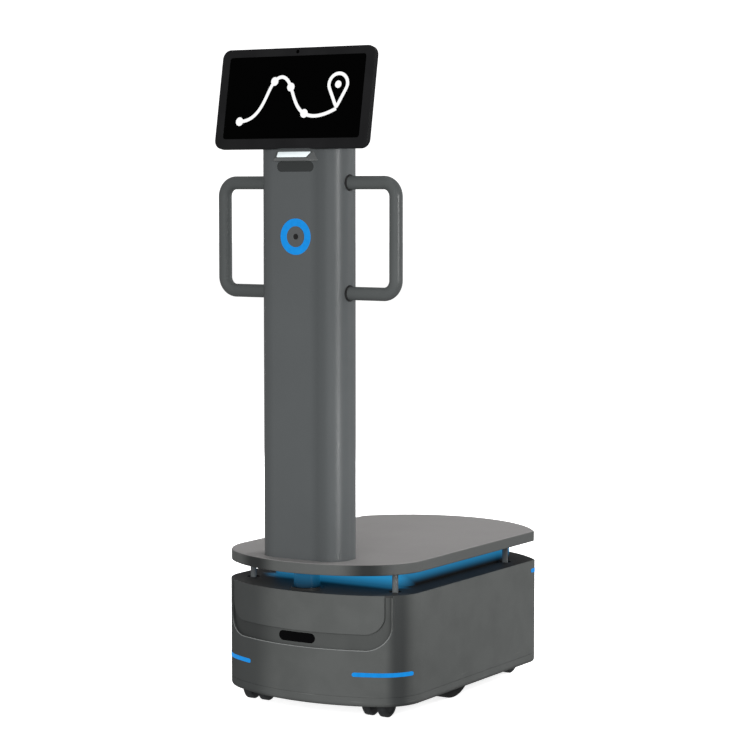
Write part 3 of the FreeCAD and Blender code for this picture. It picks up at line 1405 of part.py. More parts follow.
add_box(arm_tower, -S.wheel_y - seat_half, -S.wheel_y + seat_half, S.wheel_radius, tower_high)
pad(arm_right, arm_tower, S.arm_thickness)
arm_seat = new_sketch(arm_right, "seat", "XY_Plane", buffer_low - seat_thickness)
add_circle(arm_seat, arm_middle, -S.wheel_y, S.seat_diameter / 2)
pad(arm_right, arm_seat, seat_thickness)
arm_bores = new_sketch(arm_right, "bores", "YZ_Plane")
add_circle(arm_bores, -S.wheel_y, S.wheel_radius, axle_radius + S.run_gap)
add_circle(arm_bores, S.pivot_rear, S.pivot_z, S.pivot_pin / 2 + S.run_gap)
pocket(arm_right, arm_bores, back=True)
buffer_right = turned(
    "suspension_buffer_right",
    [
        (0.0, 0.0),
        (S.buffer_diameter / 2, 0.0),
        (S.buffer_diameter / 2, S.buffer_height * 0.2),
        (S.buffer_waist / 2, S.buffer_height / 2),
        (S.buffer_diameter / 2, S.buffer_height * 0.8),
        (S.buffer_diameter / 2, S.buffer_height),
        (0.0, S.buffer_height),
    ],
)
keep(place(buffer_right, arm_middle, -S.wheel_y, buffer_low))
for source, label in (
    (tyre_right, "drive_tyre_left"),
    (hub_right, "drive_hub_left"),
    (axle_right, "drive_axle_left"),
    (arm_right, "suspension_arm_left"),
    (buffer_right, "suspension_buffer_left"),
):
    keep(mirrored(source, label))

# Suspension brackets on the chassis plate, and the arms' pivot pins
ear_inner = arm_outer + S.ear_gap
ear_outer = ear_inner + S.bracket_plate
pivot_half = S.pivot_boss / 2
web_front = S.pivot_rear + pivot_half + S.fit_gap * 3
web_rear = web_front + S.bracket_plate
tower_half = S.buffer_diameter / 2 + S.bracket_plate
bracket = new_body("bracket")
bracket_side = new_sketch(bracket, "side", "YZ_Plane", bracket_inner)
add_polygon(
    bracket_side,
    [
        (-S.wheel_y - tower_half, chassis_top),
        (web_rear, chassis_top),
        (web_rear, S.pivot_z + pivot_half),
        (S.pivot_rear - pivot_half, S.pivot_z + pivot_half),
        (-S.wheel_y + tower_half, buffer_high + S.bracket_plate),
        (-S.wheel_y - tower_half, buffer_high + S.bracket_plate),
    ],
)
pad(bracket, bracket_side, S.bracket_plate)
bracket_top = new_sketch(bracket, "top", "XY_Plane", buffer_high)
add_box(bracket_top, bracket_inner, ear_outer, -S.wheel_y - tower_half, -S.wheel_y + tower_half)
pad(bracket, bracket_top, S.bracket_plate)
bracket_base = new_sketch(bracket, "base", "XY_Plane", chassis_top)
add_box(bracket_base, bracket_inner - S.bracket_flange, bracket_outer, -S.wheel_y - tower_half, web_rear)
pad(bracket, bracket_base, S.bracket_plate)
bracket_web = new_sketch(bracket, "web", "XY_Plane", chassis_top)
add_box(bracket_web, bracket_inner, ear_outer, web_front, web_rear)
pad(bracket, bracket_web, S.pivot_z + pivot_half - chassis_top)
bracket_ear = new_sketch(bracket, "ear", "YZ_Plane", ear_inner)
add_box(bracket_ear, S.pivot_rear - pivot_half, web_rear, chassis_top, S.pivot_z + pivot_half)
pad(bracket, bracket_ear, S.bracket_plate)
bracket_bore = new_sketch(bracket, "bore", "YZ_Plane")
add_circle(bracket_bore, S.pivot_rear, S.pivot_z, S.pivot_pin / 2 + S.run_gap)
pocket(bracket, bracket_bore, back=True)
suspension_brackets = keep(group("suspension_brackets", [bracket, mirrored(bracket, "bracket_left")]))
pin_length = ear_outer - bracket_inner + S.fit_gap * 2
pivot_pin = turned(
    "pivot_pin",
    [(0.0, 0.0), (S.pivot_pin / 2, 0.0), (S.pivot_pin / 2, pin_length), (0.0, pin_length)],
)
place(pivot_pin, bracket_inner - S.fit_gap, S.pivot_rear, S.pivot_z, *SIDE)
suspension_pins = keep(group("suspension_pins", [pivot_pin, mirrored(pivot_pin, "pivot_pin_left")]))

# Twin-wheel casters, drawn about their swivel axis and then placed
fork_top = mount_low - S.fit_gap
disc_low = fork_top - S.caster_disc_height
web_half = S.caster_web / 2
axle_hole = S.caster_axle / 2 + S.run_gap
wheel_start = web_half + S.fit_gap * 3
fork = new_body("fork")
fork_web = new_sketch(fork, "web", "YZ_Plane", -web_half)
eye_half = S.caster_radius * 0.42
neck_half = S.caster_disc * 0.42
add_polygon(
    fork_web,
    [
        (-S.caster_trail - eye_half, S.caster_radius),
        (-S.caster_trail + eye_half, S.caster_radius),
        (neck_half, disc_low + S.caster_disc_height / 2),
        (-neck_half, disc_low + S.caster_disc_height / 2),
    ],
)
pad(fork, fork_web, S.caster_web)
fork_eye = new_sketch(fork, "eye", "YZ_Plane", -web_half)
add_circle(fork_eye, -S.caster_trail, S.caster_radius, eye_half)
pad(fork, fork_eye, S.caster_web)
fork_disc = new_sketch(fork, "disc", "XY_Plane", disc_low)
add_circle(fork_disc, 0.0, 0.0, S.caster_disc / 2)
pad(fork, fork_disc, S.caster_disc_height)
fork_stem = new_sketch(fork, "stem", "XY_Plane", fork_top)
add_circle(fork_stem, 0.0, 0.0, S.caster_stem / 2)
pad(fork, fork_stem, S.chassis_height - fork_top + S.chassis_thickness / 2)
fork_bore = new_sketch(fork, "bore", "YZ_Plane", -S.caster_disc)
add_circle(fork_bore, -S.caster_trail, S.caster_radius, axle_hole)
pocket(fork, fork_bore, back=True)
caster_wheel = turned(
    "caster_wheel",
    [
        (axle_hole, 0.0),
        (S.caster_radius - S.edge_round * 2, 0.0),
        (S.caster_radius, S.edge_round * 2),
        (S.caster_radius, S.caster_wheel_width - S.edge_round * 2),
        (S.caster_radius - S.edge_round * 2, S.caster_wheel_width),
        (S.caster_radius * 0.7, S.caster_wheel_width),
        (S.caster_radius * 0.62, S.caster_wheel_width - S.edge_round),
        (axle_hole, S.caster_wheel_width - S.edge_round),
    ],
)
place(caster_wheel, wheel_start, -S.caster_trail, S.caster_radius, *SIDE)
axle_half = wheel_start + S.caster_wheel_width - S.edge_round
caster_axle = turned(
    "caster_axle",
    [(0.0, -axle_half), (S.caster_axle / 2, -axle_half), (S.caster_axle / 2, axle_half), (0.0, axle_half)],
)
place(caster_axle, 0.0, -S.caster_trail, S.caster_radius, *SIDE)
wheel_items = [caster_wheel, mirrored(caster_wheel, "caster_wheel_left"), caster_axle]
mount = new_body("mount")
mount_plate = new_sketch(mount, "plate", "XY_Plane", S.chassis_height - S.mount_thickness)
mount_half = S.mount_width / 2
add_rounded(mount_plate, -mount_half, mount_half, -mount_half, mount_half, S.mount_thickness)
pad(mount, mount_plate, S.mount_thickness)
mount_hub = new_sketch(mount, "hub", "XY_Plane", mount_low)
add_circle(mount_hub, 0.0, 0.0, S.mount_hub / 2)
pad(mount, mount_hub, S.mount_hub_height)
mount_bore = new_sketch(mount, "bore", "XY_Plane")
add_circle(mount_bore, 0.0, 0.0, S.caster_stem / 2 + S.run_gap)
pocket(mount, mount_bore, S.base_top, back=True)
mount_items = []
for name, x, y, turn in CASTERS:
    keep(place(group(f"caster_fork_{name}", [fork]), x, y, 0.0, (0, 0, 1), turn))
    keep(place(group(f"caster_wheels_{name}", wheel_items), x, y, 0.0, (0, 0, 1), turn))
    mount_items.append(place(group(f"mount_{name}", [mount]), x, y))
caster_mounts = keep(group("caster_mounts", mount_items))


# Battery and controller on the chassis plate
def chassis_box(label, y, width, length, height):
    body = keep(new_body(label))
    outline = new_sketch(body, "outline", "XY_Plane", chassis_top)
    add_rounded(outline, -width / 2, width / 2, y - length / 2, y + length / 2, S.box_corner)
    pad(body, outline, height)
    round_edges(body, S.edge_round, flat_at("z", chassis_top + height), "edge")


chassis_box("battery_pack", S.battery_y, battery_width, S.battery_length, S.battery_height)
chassis_box("control_box", -S.control_y, S.control_width, S.control_length, S.control_height)

# Every feature has to be sound before anything is written
doc.recompute()
for item in doc.Objects:
    if "Invalid" in item.State or "Error" in item.State:
        raise RuntimeError(f"{item.Name} failed: {item.State}")
os.makedirs("parts", exist_ok=True)
for item in NODES:
    shape = item.Shape
    if shape.isNull() or not shape.isValid() or not shape.Solids:
        raise RuntimeError(f"{item.Label} has no sound solid")
    shape.exportStep(f"parts/{item.Label}.step")
    print(item.Label, len(shape.Solids), round(shape.Volume / 1000.0, 2), "cm3")
print(len(NODES), "pieces")
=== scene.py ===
# %% [markdown]
# # An indoor delivery robot, dressed for a portrait
#
# The robot is a low wheeled base, a load deck on four posts, a rounded column with two grab handles and a
# tilting display. All its hard parts come from a packed engineering model, in metres, with the floor at
# z = 0 and the front towards -Y. In this lesson those parts get real finishes, and the few pieces that an
# engineering model leaves out, such as the drawing on the screen, screws and cooling ribs, are modelled on
# top.

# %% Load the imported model
import math

import bmesh
import bpy
from mathutils import Matrix, Vector


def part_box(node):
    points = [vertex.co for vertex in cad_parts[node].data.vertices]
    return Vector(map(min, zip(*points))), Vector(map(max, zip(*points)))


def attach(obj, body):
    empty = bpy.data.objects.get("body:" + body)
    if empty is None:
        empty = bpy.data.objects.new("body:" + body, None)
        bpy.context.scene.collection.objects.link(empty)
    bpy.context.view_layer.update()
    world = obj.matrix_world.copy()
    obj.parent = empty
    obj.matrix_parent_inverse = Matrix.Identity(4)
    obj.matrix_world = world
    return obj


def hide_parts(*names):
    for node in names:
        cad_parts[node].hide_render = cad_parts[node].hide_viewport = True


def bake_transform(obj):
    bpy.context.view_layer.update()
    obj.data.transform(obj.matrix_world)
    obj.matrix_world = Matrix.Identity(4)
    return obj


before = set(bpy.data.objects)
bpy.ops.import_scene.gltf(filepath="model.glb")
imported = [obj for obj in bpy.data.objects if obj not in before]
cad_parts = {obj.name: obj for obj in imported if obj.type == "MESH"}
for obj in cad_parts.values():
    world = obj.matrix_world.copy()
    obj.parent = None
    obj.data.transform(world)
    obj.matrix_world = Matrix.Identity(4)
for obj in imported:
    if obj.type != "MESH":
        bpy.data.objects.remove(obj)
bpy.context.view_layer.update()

# %% [markdown]
# ## The camera
#
# The photograph looks at the robot's front from its +X side, a little from above. A camera could be placed
# by eye, but straight edges of the deck, the base and the handles were measured instead, and the place, the
# lens and the tilt below are the ones that put those edges where the photograph has them.

# %% Camera
LENS = 109.83
CAMERA_PLACE = (2.4934, -3.9884, 1.0275)
CAMERA_DIP = 4.5553
CAMERA_TURN = 32.2813
camera_data = bpy.data.cameras.new("portrait_camera")
camera_data.sensor_width = 36.0
camera_data.lens = LENS
camera = bpy.data.objects.new("portrait_camera", camera_data)
camera.location = CAMERA_PLACE
camera.rotation_euler = (math.radians(90.0 - CAMERA_DIP), 0.0, math.radians(CAMERA_TURN))
bpy.context.scene.collection.objects.link(camera)
bpy.context.scene.camera = camera
print("camera at", [round(x, 2) for x in camera.location], "lens", round(camera_data.lens, 1))

# %% [markdown]
# ## Tools for materials
#
# Colours are written as the hex values that a picture editor shows. Shaders count in linear light, so one
# function converts them. A second function adds a shader node, sets it and wires it. A few short ones built
# on it say the things that every finish says: a noise of some size, a ramp, a sum, a blend of two colours.


# %% Colours and nodes
def hex_colour(code):
    """An sRGB hex code as the linear colour that shaders use."""
    parts = [int(code[i : i + 2], 16) / 255.0 for i in (1, 3, 5)]
    linear = [c / 12.92 if c <= 0.04045 else ((c + 0.055) / 1.055) ** 2.4 for c in parts]
    return (*linear, 1.0)


def add(tree, kind, inputs=None, **settings):
    """Add one shader node. Inputs are plain values, or the sockets that feed it."""
    node = tree.nodes.new(kind)
    for name, value in settings.items():
        setattr(node, name, value)
    for key, value in (inputs or {}).items():
        if isinstance(value, bpy.types.NodeSocket):
            tree.links.new(value, node.inputs[key])
        else:
            node.inputs[key].default_value = value
    return node


print("white is", hex_colour("#FFFFFF")[:3])


# %% Short ways to say common nodes
def along(tree, place, axis):
    """One coordinate of a place."""
    return add(tree, "ShaderNodeSeparateXYZ", {"Vector": place}).outputs[axis]


def stretch(tree, place, scale, turn=(0.0, 0.0, 0.0)):
    """A place, turned and scaled so that a noise at it becomes streaks."""
    return add(tree, "ShaderNodeMapping", {"Vector": place, "Rotation": turn, "Scale": scale}).outputs[0]


def noise(tree, place, size, detail):
    """Cloudy noise from 0 to 1, whose patches are about as wide as size, in metres."""
    inputs = {"Vector": place, "Scale": 1 / size, "Detail": detail}
    return add(tree, "ShaderNodeTexNoise", inputs).outputs["Fac"]


def ramp(tree, value, low, high, to_low=0.0, to_high=1.0, soft=False):
    """A value taken from one range to another, in a straight line or with soft ends."""
    inputs = {"Value": value, "From Min": low, "From Max": high, "To Min": to_low, "To Max": to_high}
    kind = "SMOOTHSTEP" if soft else "LINEAR"
    return add(tree, "ShaderNodeMapRange", inputs, interpolation_type=kind).outputs[0]


def spread(tree, value, low, high):
    """A value from 0 to 1 spread over a range."""
    return ramp(tree, value, 0.0, 1.0, low, high)


def calc(tree, operation, *values):
    """One step of arithmetic."""
    return add(tree, "ShaderNodeMath", dict(enumerate(values)), operation=operation).outputs[0]


def mix(tree, share, first, second):
    """Two colours, as hex codes or sockets, blended by a share of the second."""
    pair = [hex_colour(item) if isinstance(item, str) else item for item in (first, second)]
    return add(tree, "ShaderNodeMix", {0: share, 6: pair[0], 7: pair[1]}, data_type="RGBA").outputs[2]


def bump(tree, height, strength, distance):
    """A bumped normal."""
    inputs = {"Height": height, "Strength": strength, "Distance": distance}
    return add(tree, "ShaderNodeBump", inputs).outputs[0]


helpers = (along, stretch, noise, ramp, spread, calc, mix, bump)
print("node helpers:", ", ".join(helper.__name__ for helper in helpers))


# %% Finishes
def new_finish(name, **sockets):
    """A new material, its tree, its main shader with constants set, and the place on the part."""
    material = bpy.data.materials.new(name)
    material.use_nodes = True
    tree = material.node_tree
    shader = tree.nodes["Principled BSDF"]
    for socket, value in sockets.items():
        shader.inputs[socket.replace("_", " ")].default_value = value
    return material, tree, shader, add(tree, "ShaderNodeTexCoord").outputs["Object"]


def wire(tree, shader, **sources):
    """Feed sockets of the main shader."""
    for socket, source in sources.items():
        tree.links.new(source, shader.inputs[socket.replace("_", " ")])


def dress(material, *names):
    """Give CAD nodes a finish through their own material slots."""
    for name in names:
        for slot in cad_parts[name].material_slots:
            slot.material = material
    print(material.name, "on", ", ".join(names))


print("nodes to dress:", len(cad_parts))

# %% [markdown]
# ## Moulded ABS for the shell
#
# The shell, its shield panel and the camera hood are moulded ABS with a fine spark-eroded texture: matt,
# with a faint unevenness where the melt met. The texture's pits are about 0.4 mm wide. That is finer than a
# pixel here, so the pits are drawn at 1.2 mm. Cloudy variation about 60 mm wide keeps the large faces from
# looking like flat paint. Low down, trolley wheels and shoes leave scuffs, so the lowest 45 mm get fine
# pale marks.
#
# Painted shade darkens the colour in soft upright bands at the round front corners, and on the -X side the
# band reaches furthest over the front. A band is five numbers: where it begins, is full, fades and is gone
# along X, and how strong it is.

# %% Moulded plastic
CLOUD = 0.06
CLOUD_DARK, CLOUD_LIGHT = 0.35, 0.65
MOULDED_SPREAD = 0.06
PIT_STRENGTH = 0.12


def moulded_plastic(name, light, dark, roughness, pit=0.0012, **constants):
    """Matt moulded plastic: a cloudy colour, a fine pitted grain and a slightly uneven gloss."""
    material, tree, shader, place = new_finish(name, IOR=1.5, **constants)
    cloud = noise(tree, place, CLOUD, detail=3.0)
    pits = noise(tree, place, pit, detail=2.0)
    colour = mix(tree, ramp(tree, cloud, CLOUD_DARK, CLOUD_LIGHT), dark, light)
    gloss = spread(tree, pits, roughness - MOULDED_SPREAD, roughness + MOULDED_SPREAD)
    grain = bump(tree, pits, PIT_STRENGTH, distance=pit / 3)
    wire(tree, shader, Base_Color=colour, Roughness=gloss, Normal=grain)
    return material, tree, shader, place, colour


hood_abs, *_ = moulded_plastic("hood_abs_moulded", "#5E6060", "#595B5B", 0.45)
dress(hood_abs, "camera_hood")
button_abs, *_ = moulded_plastic("button_abs_moulded", "#515354", "#4C4E4F", 0.5)
dress(button_abs, "ring_button")

# %% Painted shade bands
SHADE_BEGINS, SHADE_FULL = -0.19, -0.22
# Bands of painted shade at the shell's front corners and over the -X side of its front.
SHELL_SHADE_BANDS = ((0.178, 0.196, 0.203, 0.217, 1.0), (-0.04, -0.11, -0.3, -0.4, 0.75))


def paint_shade(tree, place, colour, dark, bands):
    """Paint shade into a colour in soft upright bands at the front, each of which rises and falls along X.
    """
    across = along(tree, place, "X")
    ahead = ramp(tree, along(tree, place, "Y"), SHADE_BEGINS, SHADE_FULL)
    shade_share = 0.0
    for begins, full, fades, gone, most in bands:
        rise = ramp(tree, across, begins, full, to_high=most, soft=True)
        fall = ramp(tree, across, gone, fades, soft=True)
        shade_share = calc(tree, "MAXIMUM", calc(tree, "MULTIPLY", rise, fall), shade_share)
    return mix(tree, calc(tree, "MULTIPLY", shade_share, ahead), colour, dark)


band_abs, tree, shader, place, colour = moulded_plastic("band_abs_moulded", "#525453", "#4E504F", 0.6)
# The front band gets the same painted shade.
wire(tree, shader, Base_Color=paint_shade(tree, place, colour, "#303232", SHELL_SHADE_BANDS))
dress(band_abs, "front_band")

# %% Shell plastic
SCUFFS_END, SCUFFS_FULL = 0.075, 0.03
SCUFF_STRETCH = (14.0, 14.0, 240.0)
MARKS_BEGIN, MARKS_FULL = 0.62, 0.72
shell_abs, tree, shader, place, colour = moulded_plastic(
    "shell_abs_moulded", "#5E605F", "#595B5A", 0.6, Specular_IOR_Level=0.12
)
low = ramp(tree, along(tree, place, "Z"), SCUFFS_END, SCUFFS_FULL)
streaks = noise(tree, stretch(tree, place, SCUFF_STRETCH), 1.0, detail=4.0)
marks = ramp(tree, streaks, MARKS_BEGIN, MARKS_FULL)
scuffed = mix(tree, calc(tree, "MULTIPLY", low, marks), colour, "#6E706F")
# Painted shade at the front corners darkens the scuffed colour.
wire(tree, shader, Base_Color=paint_shade(tree, place, scuffed, "#434545", SHELL_SHADE_BANDS))
dress(shell_abs, "base_shell", "front_panel")

# %% [markdown]
# ## Dark ABS
#
# The display's frame and shell, the battery's case and the small fittings are black-brown ABS, which the
# same function makes. The display's is the finest, with pits under a millimetre and little gloss, so that
# it doesn't mirror the room beside a bright screen.

# %% Dark plastic
dark_abs, *_ = moulded_plastic("dark_abs_moulded", "#262626", "#202020", 0.45)
dress(dark_abs, "charge_plate", "power_housing", "lidar_base", "column_cap", "button_cup", "battery_pack")
frame_abs, *_ = moulded_plastic(
    "display_abs_fine", "#1C1C1D", "#181819", 0.55, pit=0.0009, Specular_IOR_Level=0.15
)
dress(frame_abs, "display_frame", "display_shell")

# %% [markdown]
# ## The glow under the deck
#
# A light band under the deck shines down the neck and on the lid. Lamps could be put there, but a lamp that
# is strong enough to show on a black lid burns the band out. So the neck and the lid get a little light of
# their own. It fades down the neck's wall, and across the lid with the distance from the neck. The gap is
# deep in front and narrow at the sides, so the pool of light reaches far in front and hardly beyond the
# wall at the sides. The front of the lid is painted paler too, as painted light under the deck's edge.

# %% Glowing neck
GLOW = "#2A93CB"
WALL_DARK, WALL_LIT, WALL_GLOW = 0.002, 0.025, 0.58
FRONT_BEGINS, FRONT_FULL = 0.04, 0.004
FRONT_RISE, FRONT_GLOW = 0.016, (0.3, 0.8)
neck_low, neck_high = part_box("neck_core")
neck_abs, tree, shader, place, _ = moulded_plastic(
    "neck_abs_lit", "#1A1B1C", "#161718", 0.5, Specular_IOR_Level=0.2, Emission_Color=hex_colour(GLOW)
)
height = along(tree, place, "Z")
fade = ramp(tree, height, neck_low.z + WALL_DARK, neck_low.z + WALL_LIT, to_high=WALL_GLOW, soft=True)
front = ramp(tree, along(tree, place, "Y"), neck_low.y + FRONT_BEGINS, neck_low.y + FRONT_FULL)
rise = ramp(tree, height, neck_low.z, neck_low.z + FRONT_RISE, *FRONT_GLOW)
wire(tree, shader, Emission_Strength=calc(tree, "MAXIMUM", fade, calc(tree, "MULTIPLY", front, rise)))
dress(neck_abs, "neck_core")

# %% Glowing lid
POOL, POOL_GLOW = 0.04, 0.28
SIDE_INSIDE, SIDE_OUTSIDE, SIDE_LOSS = 0.02, 0.05, 0.07
FRONT_LIGHT_ENDS, FRONT_LIGHT_FULL = 0.1, 0.02
lid_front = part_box("base_lid")[0].y
lid_abs, tree, shader, place, colour = moulded_plastic(
    "lid_abs_lit", "#2A2A2A", "#252525", 0.55, Specular_IOR_Level=0.15, Emission_Color=hex_colour(GLOW)
)
ahead = along(tree, place, "Y")
from_neck = calc(tree, "ABSOLUTE", calc(tree, "SUBTRACT", ahead, neck_low.y))
across = calc(tree, "ABSOLUTE", along(tree, place, "X"))
beside = ramp(tree, across, neck_high.x - SIDE_INSIDE, neck_high.x + SIDE_OUTSIDE)
reach = calc(tree, "MULTIPLY_ADD", beside, SIDE_LOSS, from_neck)
pool = ramp(tree, reach, POOL, 0.0, to_high=POOL_GLOW, soft=True)
# Painted light: the front of the lid is paler.
pale_share = ramp(tree, ahead, lid_front + FRONT_LIGHT_ENDS, lid_front + FRONT_LIGHT_FULL)
wire(tree, shader, Emission_Strength=pool, Base_Color=mix(tree, pale_share, colour, "#4C4C4B"))
dress(lid_abs, "base_lid")

# %% [markdown]
# ## Lit diffusers
#
# The turn lights, the ring and the band under the deck are milky acrylic over rows of blue diodes about
# 8 mm apart. The diodes show as a faint beat in the brightness. The acrylic's own blue is deep, because the
# colour that the eye sees is the light that comes through it. The function that makes them is used again
# for the screen's pixels, a painted highlight on the camera's hood and the white sheets of the studio.

# %% Blue diffusers
ACRYLIC_IOR = 1.49


def lit_plastic(name, base, light, weak, strong, beat=0.008, detail=1.0, **constants):
    """A diffuser that shines in one colour, with a faint beat in its brightness."""
    material, tree, shader, place = new_finish(
        name, Base_Color=hex_colour(base), Emission_Color=hex_colour(light), **constants
    )
    wire(tree, shader, Emission_Strength=spread(tree, noise(tree, place, beat, detail), weak, strong))
    return material


blue_acrylic = lit_plastic(
    "blue_acrylic_lit",
    "#04203C",
    "#1791E6",
    weak=0.75,
    strong=1.0,
    Roughness=0.4,
    IOR=ACRYLIC_IOR,
    Specular_IOR_Level=0.2,
)
dress(blue_acrylic, "front_lights", "rear_lights", "ring_light")
band_acrylic = lit_plastic(
    "band_acrylic_lit", "#0A3A66", GLOW, weak=0.25, strong=0.4, Roughness=0.4, IOR=ACRYLIC_IOR
)
dress(band_acrylic, "glow_band")

# %% [markdown]
# ## Coated metal
#
# The column is an aluminium tube and the handles are bent steel tube, both with satin powder coat. Powder
# melts into a skin with a soft orange-peel ripple about 2.5 mm wide, which breaks up the edges of
# reflections. By one front corner of the column, at +X, a soft upright band of painted shade darkens the
# coat.

# %% Powder coat
COAT_CLOUD = 0.09
COAT_SPREAD = 0.05
RIPPLE, RIPPLE_STRENGTH, RIPPLE_DEPTH = 0.0025, 0.06, 0.0004
# A band of painted shade by the column's +X front corner.
COLUMN_SHADE_BANDS = ((0.03, 0.052, 0.064, 0.08, 1.0),)


def powder_coat(name, light, dark, roughness, bands=()):
    """Satin powder coat: an almost even colour over a soft orange-peel ripple."""
    material, tree, shader, place = new_finish(name, IOR=1.52, Specular_IOR_Level=0.4)
    cloud = noise(tree, place, COAT_CLOUD, detail=2.0)
    colour = mix(tree, cloud, dark, light)
    # Bands of painted shade, where there are any.
    if bands:
        colour = paint_shade(tree, place, colour, "#4A4D4E", bands)
    gloss = spread(tree, cloud, roughness - COAT_SPREAD, roughness + COAT_SPREAD)
    skin = bump(tree, noise(tree, place, RIPPLE, detail=1.0), RIPPLE_STRENGTH, RIPPLE_DEPTH)
    wire(tree, shader, Base_Color=colour, Roughness=gloss, Normal=skin)
    return material


column_coat = powder_coat("column_powder_coat", "#545758", "#4F5253", 0.38, bands=COLUMN_SHADE_BANDS)
dress(column_coat, "column_tube")
handle_coat = powder_coat("handle_powder_coat", "#505353", "#4A4D4D", 0.36)
dress(handle_coat, "handle_right", "handle_left")
chassis_coat = powder_coat("chassis_black_coat", "#1F2022", "#191A1B", 0.5)
dress(chassis_coat, "chassis_plate", "tilt_bracket", "display_knuckle", "handle_anchors")
dress(chassis_coat, "suspension_arm_right", "suspension_arm_left", "suspension_brackets")
post_coat = powder_coat("post_grey_coat", "#6A6E70", "#606466", 0.35)
dress(post_coat, "deck_posts")

# %% [markdown]
# ## Deck laminate
#
# The deck is a board faced with matt grey laminate, and its edge is closed with a darker band, as on office
# desks. The top's paler grey is partly painted light from above. The laminate's print is a fine speckle of
# about 1 mm, drawn at 3 mm here so that it shows at all.
# Its top is rubbed a little smoother where boxes slide. One material gives both, told apart by the height
# above the floor. The edge band gets painted shade at the two front corners too.

# %% Deck laminate
# Bands of painted shade on the deck's edge at its two front corners.
DECK_SHADE_BANDS = ((0.1, 0.152, 0.162, 0.207, 1.0), (-0.026, -0.078, -0.096, -0.145, 1.0))
SPECKLE = 0.003
WORN_PATCH = 0.14
EDGE_ENDS, FACE_BEGINS = 0.0012, 0.0004
deck_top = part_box("deck_plate")[1].z
laminate, tree, shader, place = new_finish("deck_laminate_matt", IOR=1.5)
speckle = noise(tree, place, SPECKLE, detail=3.0)
face = mix(tree, speckle, "#7F7D7C", "#8A8888")
# The edge band's front corners get painted shade.
edge = paint_shade(tree, place, mix(tree, speckle, "#555756", "#5B5D5C"), "#282A2A", DECK_SHADE_BANDS)
# The paler top is partly painted light from above.
upper = ramp(tree, along(tree, place, "Z"), deck_top - EDGE_ENDS, deck_top - FACE_BEGINS)
gloss = spread(tree, noise(tree, place, WORN_PATCH, detail=3.0), low=0.42, high=0.6)
grain = bump(tree, speckle, strength=0.05, distance=0.0005)
wire(tree, shader, Base_Color=mix(tree, upper, edge, face), Roughness=gloss, Normal=grain)
dress(laminate, "deck_plate")

# %% [markdown]
# ## Bare metals
#
# Pins, axles and the casters' plates are turned steel, whose fine rings show as streaks in the gloss. The
# hub motors, the column's foot, the camera modules, the control box and the power button are cast or sawn
# aluminium with a softer, duller grain, and the charging contacts are brass, a little browned.

# %% Metals
METAL_SPREAD = 0.08
EVEN_MARKS = (1.0, 1.0, 1.0)
TURNED_MARKS = (0.2, 0.2, 3.0)


def bare_metal(name, light, dark, roughness, grain, marks=EVEN_MARKS):
    """Bare metal that varies along its tool marks. Its thin oxide scatters part of the light."""
    material, tree, shader, place = new_finish(name, Metallic=0.7)
    streaks = noise(tree, stretch(tree, place, marks), grain, detail=3.0)
    gloss = spread(tree, streaks, roughness - METAL_SPREAD, roughness + METAL_SPREAD)
    wire(tree, shader, Base_Color=mix(tree, streaks, dark, light), Roughness=gloss)
    return material


turned_steel = bare_metal("steel_turned", "#C9CACB", "#AFB1B3", 0.28, 0.004, TURNED_MARKS)
dress(turned_steel, "tilt_pin", "drive_axle_right", "drive_axle_left", "suspension_pins", "caster_mounts")
cast_alloy = bare_metal("aluminium_cast", "#B4B6B8", "#9C9EA1", 0.42, 0.003)
dress(cast_alloy, "drive_hub_right", "drive_hub_left", "column_foot")
dress(cast_alloy, "depth_cameras", "power_button", "control_box")
brass = bare_metal("brass_contact", "#CBA35C", "#A9823F", 0.3, 0.006)
dress(brass, "charge_contacts")

# %% [markdown]
# ## Rubber and wheels
#
# Tyres, buffers and grommets are black rubber, dulled by dust. The casters' tyres are grey-black
# polyurethane and their forks are glass-filled nylon.

# %% Rubber
DUST_PATCH = 0.012
BLOOM_BEGINS, BLOOM_FULL = 0.4, 0.7
RUBBER_SPREAD = 0.1


def rubber(name, light, dark, roughness):
    """Dull rubber with a dusty bloom."""
    material, tree, shader, place = new_finish(name, IOR=1.52)
    pale_share = noise(tree, place, DUST_PATCH, detail=4.0)
    colour = mix(tree, ramp(tree, pale_share, BLOOM_BEGINS, BLOOM_FULL), dark, light)
    gloss = spread(tree, pale_share, roughness - RUBBER_SPREAD, roughness + RUBBER_SPREAD)
    wire(tree, shader, Base_Color=colour, Roughness=gloss)
    return material


tyre_rubber = rubber("tyre_rubber_dusty", "#2E2E2E", "#1D1D1D", 0.75)
dress(tyre_rubber, "drive_tyre_right", "drive_tyre_left")
soft_rubber = rubber("rubber_soft", "#232323", "#181818", 0.65)
dress(soft_rubber, "handle_grommets", "suspension_buffer_right", "suspension_buffer_left")
caster_tyre = rubber("caster_polyurethane", "#323435", "#26282A", 0.55)
fork_nylon, *_ = moulded_plastic("caster_nylon", "#2B2D2E", "#232526", 0.5)
for corner in ("front_right", "front_left", "rear_right", "rear_left"):
    dress(caster_tyre, f"caster_wheels_{corner}")
    dress(fork_nylon, f"caster_fork_{corner}")

# %% [markdown]
# ## Windows and the screen
#
# The depth cameras sit behind dark tinted acrylic, and the one under the hood is a shade lighter. The
# screen is a coated glass sheet over a panel that is black when it shows nothing, and the small camera
# above it has the same dark glass. All are nearly black and smooth, so what shows on them is mostly
# reflection, and the coating keeps that low. A film of faint wiping marks changes the gloss.

# %% Tinted acrylic and glass
WIPE_TURN = (0.0, 0.6, 0.0)
WIPE_STRETCH = (4.0, 4.0, 30.0)
WIPE_PATCH = 0.5
WIPE_SPREAD = 0.1
LOW_WINDOW, HIGH_WINDOW = 0.4, 0.9


